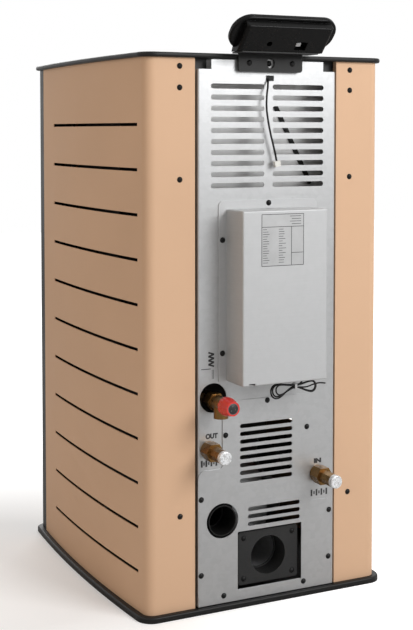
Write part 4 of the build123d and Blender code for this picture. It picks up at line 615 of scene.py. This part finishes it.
@dataclass
class Repeater:
    """Geometry Nodes tree that sets copies of a template on points, each turned a little by chance."""

    name: str
    template: Object
    finish: Material
    axis: Point = (0.0, 1.0, 0.0)
    twist: float = math.tau
    seed: int = 7

    def tree(self) -> NodeTree:
        """Return the node tree with its named inputs."""
        tree = bpy.data.node_groups.new(self.name, "GeometryNodeTree")
        for label, way, kind in (
            ("Points", "INPUT", "Geometry"),
            ("Template", "INPUT", "Object"),
            ("Twist", "INPUT", "Float"),
            ("Seed", "INPUT", "Int"),
            ("Finish", "INPUT", "Material"),
            ("Geometry", "OUTPUT", "Geometry"),
        ):
            tree.interface.new_socket(label, in_out=way, socket_type="NodeSocket" + kind)
        start = tree.nodes.new("NodeGroupInput")
        end = tree.nodes.new("NodeGroupOutput")
        template = tree.nodes.new("GeometryNodeObjectInfo")
        turn = tree.nodes.new("FunctionNodeRandomValue")
        axis = tree.nodes.new("ShaderNodeVectorMath")
        axis.operation = "SCALE"
        axis.inputs[0].default_value = self.axis
        copies = tree.nodes.new("GeometryNodeInstanceOnPoints")
        real = tree.nodes.new("GeometryNodeRealizeInstances")
        paint = tree.nodes.new("GeometryNodeSetMaterial")
        for source, target in (
            (start.outputs["Points"], copies.inputs["Points"]),
            (start.outputs["Template"], template.inputs["Object"]),
            (template.outputs["Geometry"], copies.inputs["Instance"]),
            (start.outputs["Twist"], turn.inputs[3]),
            (start.outputs["Seed"], turn.inputs["Seed"]),
            (turn.outputs[1], axis.inputs["Scale"]),
            (axis.outputs["Vector"], copies.inputs["Rotation"]),
            (copies.outputs["Instances"], real.inputs["Geometry"]),
            (real.outputs["Geometry"], paint.inputs["Geometry"]),
            (start.outputs["Finish"], paint.inputs["Material"]),
            (paint.outputs["Geometry"], end.inputs["Geometry"]),
        ):
            tree.links.new(source, target)
        return tree

    def place(self, points: Iterable[Point]) -> Object:
        """Set the copies and return them as one plain mesh.

        Args:
            points: Where each copy's origin goes.

        Returns:
            The finished object.
        """
        seats = bpy.data.meshes.new(self.name + "_seats")
        seats.from_pydata([tuple(point) for point in points], [], [])
        holder = linked(self.name, seats)
        modifier = holder.modifiers.new("Copies", "NODES")
        modifier.node_group = self.tree()
        values = {"Template": self.template, "Twist": self.twist, "Seed": self.seed, "Finish": self.finish}
        for item in modifier.node_group.interface.items_tree:
            if item.in_out == "INPUT" and item.name in values:
                modifier[item.identifier] = values[item.name]
        mesh = evaluated(holder)
        holder.modifiers.clear()
        holder.data = mesh
        return holder


def hidden_template(name: str, shape: BMesh, finish: Material) -> Object:
    """Return a template object that isn't linked to the scene."""
    made = mesh_object(name, shape, finish)
    bpy.context.scene.collection.objects.unlink(made)
    return made


@dataclass
class ScrewHeads:
    """Black domed screws with a cross recess, in the seats of the rear panels."""

    finishes: Finishes
    radius: float = 0.006
    height: float = 0.0036
    recess_reach: float = 0.0028
    recess_width: float = 0.0009
    recess_floor: float = 0.55
    shank: float = 0.0018

    def template(self) -> Object:
        """Return one screw whose head looks along +Y from the origin."""
        shape = bmesh.new()
        place = rearward((0.0, 0.0, 0.0))
        dome = [(self.shank, -0.002), (self.shank, 0.0), (self.radius, 0.0), (self.radius, 0.0003)]
        sphere = (self.radius**2 + self.height**2) / (2 * self.height)
        for step in range(1, 7):
            out = self.radius * (1 - step / 7)
            dome.append((out, math.sqrt(sphere**2 - out**2) - (sphere - self.height)))
        floor = self.height * self.recess_floor
        dome += [(self.radius * 0.08, self.height * 0.97), (0.0, self.height * 0.97)]
        lathe(shape, dome, place, 20)
        for turn in (0.0, math.pi / 2):
            bar = rounded_rectangle(2 * self.recess_reach, self.recess_width, self.recess_width * 0.3, 1)
            slab(shape, bar, floor, self.height + 0.00012, place @ Matrix.Rotation(turn, 4, "Z"))
        return hidden_template("screw_template", shape, self.finishes["screw_black"])

    def build(self) -> list[Object]:
        """Set one group of screws for each screw node and return the groups."""
        template = self.template()
        made = []
        for node in ("side_panel_screws", "rear_screws"):
            repeater = Repeater(node + "_heads", template, self.finishes["screw_black"])
            heads = repeater.place(seats_of(node, self.height))
            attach(heads, CABINET)
            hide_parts(node)
            made.append(heads)
        return made


def seats_of(node: str, height: float) -> list[Point]:
    """Find where each loose solid of a screw node sits.

    Args:
        node: Name of a CAD node whose solids all point along +Y.
        height: Height of a head above its seat.

    Returns:
        The middle of each seat, in a fixed order.
    """
    shape = bmesh.new()
    shape.from_mesh(frame["nodes"][node].data)
    bmesh.ops.remove_doubles(shape, verts=shape.verts, dist=1e-5)
    seats = []
    left = set(shape.verts)
    while left:
        group: set[BMVert] = set()
        edge = {left.pop()}
        while edge:
            group |= edge
            edge = {link.other_vert(vert) for vert in edge for link in vert.link_edges} - group
        left -= group
        xs = [vert.co.x for vert in group]
        zs = [vert.co.z for vert in group]
        top = max(vert.co.y for vert in group)
        seats.append(((min(xs) + max(xs)) / 2, top - height, (min(zs) + max(zs)) / 2))
    shape.free()
    return sorted(seats)


@dataclass
class Cords:
    """The black display lead and the black probe lead in its hank."""

    finishes: Finishes
    lead_diameter: float = 0.004
    hank_diameter: float = 0.0032
    hank: Point = (-0.030, 0.390, 0.4675)
    hank_spacing: float = 0.0038
    waist: float = 0.007
    feed: Point = (-0.053, 0.3616, 0.513)
    lead_route: Sequence[Point] = (
        (0.0005, 0.3324, 1.1035),
        (0.0070, 0.3450, 1.0880),
        (0.0125, 0.3490, 1.0660),
        (0.0135, 0.3495, 1.0400),
        (0.0087, 0.3480, 1.0140),
        (0.0022, 0.3470, 0.9870),
        (-0.0042, 0.3465, 0.9650),
        (-0.0095, 0.3460, 0.9470),
        (-0.0125, 0.3465, 0.9310),
    )
    left_loops: Sequence[Point] = ((0.054, -0.008, 0.0155), (0.052, -0.006, 0.013), (0.046, -0.004, 0.0108))
    right_loops: Sequence[Point] = ((0.051, -0.0035, 0.012), (0.047, -0.002, 0.0108))
    loop_corners: int = 4

    def loop(self, reach: float, drop: float, radius: float) -> list[tuple[float, float]]:
        """Return the corners of one loop, from its upper strand to its lower one.

        Args:
            reach: How far the loop goes out from the tie.
            drop: Height of the loop's middle from the tie's.
            radius: Radius of the circle that it turns on.

        Returns:
            Distance out and height of each corner.
        """
        row = self.hank_spacing / 2
        centre = reach - radius
        climb = math.atan2(drop - row, centre - self.waist)
        climb += math.asin(radius / math.hypot(drop - row, centre - self.waist))
        fall = math.atan2(drop + row, centre - self.waist)
        fall -= math.asin(radius / math.hypot(drop + row, centre - self.waist))
        turn = (math.pi + climb - fall) / self.loop_corners
        corners = []
        for index in range(self.loop_corners):
            angle = math.pi / 2 + climb - turn * (index + 0.5)
            distance = radius / math.cos(turn / 2)
            corners.append((centre + distance * math.cos(angle), drop + distance * math.sin(angle)))
        return corners

    def hank_route(self) -> list[Point]:
        """Return the whole route of the probe lead, turn by turn."""
        x, y, z = self.hank
        row = self.hank_spacing / 2
        points = [self.feed, (self.feed[0], y, self.feed[2]), (self.feed[0], y, z + row)]
        layer = y
        for turn, left in enumerate(self.left_loops):
            layer = y + turn * self.hank_spacing
            if turn:
                points.append((x - self.waist, layer, z + row))
            points.append((x + self.waist, layer, z + row))
            points += [(x + out, layer, z + up) for out, up in self.loop(*left)]
            points.append((x + self.waist, layer, z - row))
            points.append((x - self.waist, layer, z - row))
            if turn < len(self.right_loops):
                layer += self.hank_spacing
                corners = reversed(self.loop(*self.right_loops[turn]))
                points += [(x - out, layer, z + up) for out, up in corners]
        front = layer + self.hank_spacing
        points += [
            (x - 0.024, front, z - 0.003),
            (x - 0.041, front, z + 0.002),
            (x - 0.057, front, z + 0.004),
            (x - 0.069, front, z + 0.0015),
        ]
        return points

    def strand(self, name: str, route: Sequence[Point], diameter: float, finish: str) -> Object:
        """Lay one smooth round cord along a route.

        Args:
            name: Name of the cord.
            route: Control points of its line.
            diameter: Thickness of the cord.
            finish: Name of its finish.

        Returns:
            The curve object.
        """
        curve = bpy.data.curves.new(name, "CURVE")
        curve.dimensions = "3D"
        curve.bevel_depth = diameter / 2
        curve.bevel_resolution = 4
        curve.use_fill_caps = True
        spline = curve.splines.new("NURBS")
        spline.points.add(len(route) - 1)
        for point, place in zip(spline.points, route):
            point.co = (*place, 1.0)
        spline.order_u = 3
        spline.use_endpoint_u = True
        spline.resolution_u = 10
        curve.materials.append(self.finishes[finish])
        return linked(name, curve)

    def build(self) -> list[Object]:
        """Lay both cords and hide the nodes that they replace."""
        lead = self.strand("display_lead", self.lead_route, self.lead_diameter, "lead_black")
        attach(lead, CABINET)
        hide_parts("signal_lead")
        route = self.hank_route()
        hank = self.strand("probe_lead", route, self.hank_diameter, "lead_black")
        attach(hank, CABINET)
        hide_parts("probe_hank")
        return [lead, hank]


@dataclass
class Studio:
    """White studio with soft light from behind the cabinet, and the photograph's viewpoint."""

    eye: Point = (1.2507, 2.5909, 0.9925)
    yaw: float = 0.45624
    dip: float = 0.05027
    focal_px: float = 1241.1
    frame_px: tuple[int, int] = (413, 630)
    axis_px: tuple[float, float] = (206.5, 193.6)
    sensor: float = 36.0
    floor_reach: float = 9.0
    floor_tone: float = 0.78
    floor_lift: float = 0.24
    # Centre and reach of the painted shade on the floor.
    painted_shade_centre: Point = (0.5, -0.1, 0.0)
    painted_shade_near: float = 0.35
    painted_shade_far: float = 1.2
    ambient: float = 0.33

    def camera(self) -> Object:
        """Set up the camera and return it."""
        data = bpy.data.cameras.new("studio_camera")
        data.type = "PERSP"
        data.sensor_width = self.sensor
        data.lens = self.focal_px * self.sensor / self.frame_px[1]
        data.shift_x = (self.frame_px[0] / 2 - self.axis_px[0]) / self.frame_px[1]
        data.shift_y = (self.axis_px[1] - self.frame_px[1] / 2) / self.frame_px[1]
        made = linked("studio_camera", data)
        ahead = Vector((
            -math.sin(self.yaw) * math.cos(self.dip),
            -math.cos(self.yaw) * math.cos(self.dip),
            -math.sin(self.dip),
        ))
        made.location = self.eye
        made.rotation_euler = ahead.to_track_quat("-Z", "Y").to_euler()
        bpy.context.scene.camera = made
        return made

    def world(self) -> None:
        """Light the scene evenly and show plain white behind it."""
        net = Network("studio", world=True)
        bpy.context.scene.world = net.owner
        path = net.node("ShaderNodeLightPath")
        seen = path.outputs["Is Camera Ray"]
        for ray in ("Is Glossy Ray", "Is Transmission Ray"):
            values = {0: seen, 1: path.outputs[ray]}
            seen = net.node("ShaderNodeMath", values, operation="MAXIMUM").outputs[0]
        strength = net.span(seen, self.ambient, 1.0)
        glow = net.node("ShaderNodeBackground", {"Color": grey(1.0), "Strength": strength})
        net.node("ShaderNodeOutputWorld", {"Surface": glow.outputs[0]})

    def floor(self) -> Object:
        """Lay the pale floor, which keeps the stove's cast shade; its camera-only glow fades to white far
        off and is weakest near one point beside the stove, painted shade on top of the real one.
        """
        shape = bmesh.new()
        reach = self.floor_reach
        corners = [(-reach, -reach), (reach, -reach), (reach, reach), (-reach, reach)]
        shape.faces.new([shape.verts.new((x, y, 0.0)) for x, y in corners])
        net = Network("studio_floor")
        path = net.node("ShaderNodeLightPath")
        # Painted shade: the camera-only glow is cut near a point on the stove's shaded side, so the floor
        # there is darker than the lamps alone make it.
        away = net.distance(self.painted_shade_centre)
        lifted = net.span(away, self.floor_lift, 1.0, self.painted_shade_near, self.painted_shade_far)
        paper = net.node("ShaderNodeBsdfDiffuse", {"Color": grey(self.floor_tone)})
        values = {0: path.outputs["Is Camera Ray"], 1: lifted}
        share = net.node("ShaderNodeMath", values, operation="MULTIPLY")
        lift = net.node("ShaderNodeEmission", {"Color": grey(1.0), "Strength": share.outputs[0]})
        both = net.node("ShaderNodeAddShader", {0: paper.outputs[0], 1: lift.outputs[0]})
        net.node("ShaderNodeOutputMaterial", {"Surface": both.outputs[0]})
        made = mesh_object("studio_floor", shape, net.owner)
        if made.data.polygons[0].normal.z < 0:
            made.data.flip_normals()
        return made

    def lamp(
        self, name: str, place: Point, aim: Point, size: float, power: float, tint: Point = (1.0, 1.0, 1.0)
    ) -> None:
        """Hang one soft square lamp.

        Args:
            name: Name of the lamp.
            place: Where it hangs.
            aim: Point that it faces.
            size: Length of its sides.
            power: Its power in watts.
            tint: Colour of its light.
        """
        data = bpy.data.lights.new(name, "AREA")
        data.size = size
        data.energy = power
        data.color = tint
        made = linked(name, data)
        made.location = place
        made.rotation_euler = (Vector(aim) - Vector(place)).to_track_quat("-Z", "Y").to_euler()

    def build(self) -> None:
        """Set up the whole studio."""
        scene = bpy.context.scene
        scene.view_settings.view_transform = "Standard"
        self.camera()
        self.world()
        self.floor()
        self.lamp("key", (-1.3, 3.0, 2.3), (0.0, 0.3, 0.9), 1.6, 84.0)
        self.lamp("fill", (2.8, 0.6, 1.9), (0.2, 0.0, 0.6), 2.6, 14.0, (1.0, 0.78, 0.55))
        self.lamp("front", (-0.8, -3.2, 2.4), (0.0, -0.3, 0.6), 2.4, 70.0)


@dataclass
class RearMarks:
    """Generic signs printed on the rear: flow words, radiator bars, the relief spring and a type plate."""

    finishes: Finishes
    sheet_y: float = 0.334
    box_y: float = 0.409
    film: float = 0.00012

    def bar(self, shape: BMesh, ends: Sequence[float], heights: Sequence[float], y: float) -> None:
        """Print one upright rectangle between two X and two Z on the surface at that Y."""
        (right, left), (low, high) = ends, heights
        outline = [(-right, low), (-left, low), (-left, high), (-right, high)]
        slab(shape, outline, self.film * 0.4, self.film, rearward((0.0, y, 0.0)))

    def stroke(self, shape: BMesh, start: Sequence[float], end: Sequence[float], width: float) -> None:
        """Print one straight stroke on the rear sheet between two X and Z points."""
        run = Vector((end[0] - start[0], end[1] - start[1]))
        aside = Vector((-run.y, run.x)).normalized() * width / 2
        corners = [Vector(start) + aside, Vector(start) - aside, Vector(end) - aside, Vector(end) + aside]
        outline = [(-corner.x, corner.y) for corner in corners]
        slab(shape, outline, self.film * 0.4, self.film, rearward((0.0, self.sheet_y, 0.0)))

    def word(self, text: str, x: float, z: float, width: float, height: float) -> Object:
        """Print one short word, centred on its place.

        Args:
            text: The word.
            x: Middle of the word.
            z: Height of its middle.
            width: Whole width.
            height: Height of its letters.

        Returns:
            The printed word.
        """
        curve = bpy.data.curves.new(text, "FONT")
        curve.body = text
        curve.size = height
        curve.offset = height * 0.075
        curve.extrude = self.film / 2
        holder = linked("word_" + text.lower(), curve)
        mesh = evaluated(holder)
        bpy.data.objects.remove(holder)
        xs = [vert.co.x for vert in mesh.vertices]
        ys = [vert.co.y for vert in mesh.vertices]
        middle = Vector(((min(xs) + max(xs)) / 2, (min(ys) + max(ys)) / 2, -self.film / 2))
        fit = Matrix.Diagonal((width / (max(xs) - min(xs)), height / (max(ys) - min(ys)), 1.0, 1.0))
        mesh.transform(rearward((x, self.sheet_y, z)) @ fit @ Matrix.Translation(-middle))
        mesh.materials.clear()
        mesh.materials.append(self.finishes["ink"])
        return linked("word_" + text.lower(), mesh)

    def radiator(self, name: str, tall: Sequence[float], short: Sequence[float], z: float) -> list[Object]:
        """Print a radiator sign as a row of tall and short bars.

        Args:
            name: Name of the sign.
            tall: X of each tall bar.
            short: X of each short bar.
            z: Height of the row's middle.

        Returns:
            The two groups of bars.
        """
        made = []
        for kind, places in ((Bar.TALL, tall), (Bar.SHORT, short)):
            width, height = kind.value
            label = f"{name}_{kind.name.lower()}"
            shape = bmesh.new()
            self.bar(shape, (-width / 2, width / 2), (-height / 2, height / 2), 0.0)
            template = hidden_template(label + "_bar", shape, self.finishes["ink"])
            row = Repeater(label, template, self.finishes["ink"], twist=0.0)
            made.append(row.place([(x, self.sheet_y, z) for x in places]))
        return made

    def relief_sign(self) -> Object:
        """Print the zigzag spring over the relief valve with the lines beside it."""
        shape = bmesh.new()
        turns = 7
        low, high = 0.5115, 0.5405
        for turn in range(turns):
            start = (0.1388 if turn % 2 else 0.1258, low + (high - low) * turn / turns)
            end = (0.1258 if turn % 2 else 0.1388, low + (high - low) * (turn + 1) / turns)
            self.stroke(shape, start, end, 0.0036)
        self.stroke(shape, (0.1553, 0.5066), (0.1331, 0.5066), 0.0016)
        for x in (0.1301, 0.1270):
            self.stroke(shape, (x, 0.5045), (x, 0.4855), 0.0011)
        return mesh_object("relief_sign", shape, self.finishes["ink"])

    def type_plate(self) -> list[Object]:
        """Stick a type plate on the electronics box, with ruled lines and no words."""
        left, right, low, high = 0.056, -0.041, 0.7205, 0.8250
        split, head, foot = -0.0126, 0.7995, 0.746
        rule, line = 0.0011 / 2, 0.0005
        over = self.box_y + self.film
        paper = bmesh.new()
        self.bar(paper, (right, left), (low, high), self.box_y)
        ink = bmesh.new()
        for z, end in ((low, left), (high, left), (head, left), (foot, split)):
            self.bar(ink, (right, end), (z - rule, z + rule), over)
        for x, end in ((left, high), (right, high), (split, head)):
            self.bar(ink, (x - rule, x + rule), (low, end), over)
        for row in range(15):
            z = 0.7945 - row * 0.0048
            first = 0.009 + 0.006 * math.sin(row * 2.3) ** 2
            second = 0.008 + 0.009 * math.sin(row * 1.7 + 0.6) ** 2
            for start, length in ((0.0535, first), (0.017, second)):
                self.bar(ink, (start - length, start), (z - line, z + line), over)
        for row in range(4):
            z = 0.8205 - row * 0.0052
            self.bar(ink, (-0.035, -0.009 - 0.004 * (row % 2)), (z - line, z + line), over)
        plate = mesh_object("type_plate", paper, self.finishes["label_paper"])
        lines = mesh_object("type_plate_lines", ink, self.finishes["ink"])
        return [plate, lines]

    def build(self) -> list[Object]:
        """Print every sign and return them."""
        outlet_tall, outlet_short = (0.1539, 0.1434, 0.1318, 0.1205), (0.1488, 0.1378, 0.1262)
        inlet_tall = (-0.1076, -0.1201, -0.1323, -0.1446)
        inlet_short = (-0.1018, -0.1138, -0.1262, -0.1385)
        made = [
            self.word("OUT", 0.1313, 0.3675, 0.0280, 0.0112),
            self.word("IN", -0.1221, 0.2871, 0.0185, 0.0104),
            self.relief_sign(),
            *self.radiator("outlet_bars", outlet_tall, outlet_short, 0.3115),
            *self.radiator("inlet_bars", inlet_tall, inlet_short, 0.2180),
            *self.type_plate(),
        ]
        for piece in made:
            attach(piece, CABINET)
        return made


@dataclass
class ValveTrim:
    """End disc of the relief valve's red knob and the bright ring behind it."""

    finishes: Finishes
    axis_x: float = 0.128
    axis_z: float = 0.441
    end_y: float = 0.424
    neck_y: float = 0.3883

    def build(self) -> list[Object]:
        """Make the disc with its rim and dots, and the ring."""
        end = rearward((self.axis_x, self.end_y, self.axis_z))
        disc = bmesh.new()
        lathe(disc, [(0.0, -0.0024), (0.0101, -0.0024), (0.0101, -0.0004), (0.0095, 0.0), (0.0, 0.0)], end)
        rim = bmesh.new()
        band = [(0.0102, -0.002), (0.0112, -0.002), (0.0112, 0.0003), (0.0102, 0.0003)]
        lathe(rim, band, end, hollow=True)
        dots = bmesh.new()
        for turn in range(3):
            angle = math.radians(100 + 120 * turn)
            place = end @ Matrix.Translation((0.0052 * math.cos(angle), 0.0052 * math.sin(angle), 0.0))
            lathe(dots, [(0.0, 0.0), (0.0012, 0.0), (0.0010, 0.0002), (0.0, 0.0002)], place, 12)
        ring = bmesh.new()
        neck = rearward((self.axis_x, self.neck_y, self.axis_z))
        edge = [(0.0112, 0.0), (0.0150, 0.0), (0.0160, 0.0010), (0.0150, 0.0030), (0.0112, 0.0030)]
        lathe(ring, edge, neck, hollow=True)
        made = [
            mesh_object("knob_disc", disc, self.finishes["disc_dark"]),
            mesh_object("knob_rim", rim, self.finishes["button_grey"]),
            mesh_object("knob_dots", dots, self.finishes["button_grey"]),
        ]
        for piece in made:
            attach(piece, "safety_valve_knob")
        collar = mesh_object("valve_ring", ring, self.finishes["brass"])
        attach(collar, CABINET)
        return [*made, collar]


@dataclass
class DisplayTrim:
    """Screw and plug under the display, its dark screen, and a white ring in its bracket's hole, painted
    light for the lit sheet seen through the hole.
    """

    finishes: Finishes
    heel: Point = (-0.003, 0.388, 1.157)
    crease: Point = (-0.003, 0.427, 1.199)
    crest: Point = (-0.003, 0.412, 1.226)
    tilt: float = math.radians(46.0)
    length: float = 0.084
    painted_light_ring: Point = (0.0, 0.334, 1.132)
    screw: Point = (-0.039, 0.014, -0.0115)
    plug: Point = (0.0315, 0.0135, -0.012)
    pins: int = 4
    pin_pitch: float = 0.0024

    def under(self) -> Matrix:
        """Return axes on the underside: X towards -X, Y up the slope, Z out of it."""
        run = (Vector(self.crease) - Vector(self.heel)).normalized()
        return axes_at(self.heel, (-1.0, 0.0, 0.0), run, (0.0, run.z, -run.y))

    def face(self) -> Matrix:
        """Return axes on the display's face: X right, Y up the slope, Z out of it."""
        along = Vector((0.0, math.cos(self.tilt), math.sin(self.tilt)))
        centre = Vector(self.crest) - along * self.length / 2
        return axes_at(centre, (1.0, 0.0, 0.0), along, (0.0, -math.sin(self.tilt), math.cos(self.tilt)))

    def build(self) -> list[Object]:
        """Make the screw, the plug, the screen and the white ring of painted light."""
        under = self.under()
        screw = bmesh.new()
        place = under @ Matrix.Translation(self.screw)
        dome = [(0.0, 0.0), (0.0042, 0.0), (0.0040, 0.0018), (0.0030, 0.0026), (0.0, 0.0026)]
        lathe(screw, dome, place, 24)
        plug = bmesh.new()
        place = under @ Matrix.Translation(self.plug)
        slab(plug, rounded_rectangle(0.0105, 0.0085, 0.001, 2), 0.0, 0.0105, place)
        for step in range(self.pins):
            pin = place @ Matrix.Translation((self.pin_pitch * (step - (self.pins - 1) / 2), 0.0, 0.0))
            slab(plug, rounded_rectangle(0.0011, 0.004, 0.0003, 1), 0.0104, 0.0109, pin)
        screen = bmesh.new()
        place = self.face() @ Matrix.Translation((0.0, 0.010, 0.0))
        slab(screen, rounded_rectangle(0.120, 0.036, 0.003, 4), 0.00002, 0.00015, place)
        # Painted light: a white ring in the bracket's hole, standing in for the lit rear sheet seen through
        # it.
        painted_light_ring = bmesh.new()
        edge = [(0.0063, 0.0002), (0.0098, 0.0002), (0.0098, 0.0020), (0.0063, 0.0024)]
        lathe(painted_light_ring, edge, rearward(self.painted_light_ring), hollow=True)
        made = [
            mesh_object("under_screw", screw, self.finishes["screw_black"]),
            mesh_object("under_plug", plug, self.finishes["tie_grey"]),
            mesh_object("display_screen", screen, self.finishes["disc_dark"]),
            mesh_object("bracket_bush", painted_light_ring, self.finishes["bush_white"]),
        ]
        for piece in made:
            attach(piece, CABINET)
        return made


def main() -> None:
    """Dress the stove piece by piece and set up the studio."""
    logging.basicConfig(level=logging.INFO, format="%(name)s: %(message)s")
    Studio().build()
    finishes = Finishes()
    finishes.dress_nodes()
    log.info("%d nodes dressed", len(frame["nodes"]))
    builders: list[tuple[str, Callable[[], Any]]] = [
        ("cords", Cords(finishes).build),
        ("screws", ScrewHeads(finishes).build),
        ("marks", RearMarks(finishes).build),
        ("valve trim", ValveTrim(finishes).build),
        ("display trim", DisplayTrim(finishes).build),
    ]
    for label, build in builders:
        made = build()
        log.info("%s: %d pieces", label, len(made))


if __name__ == "__main__":
    main()
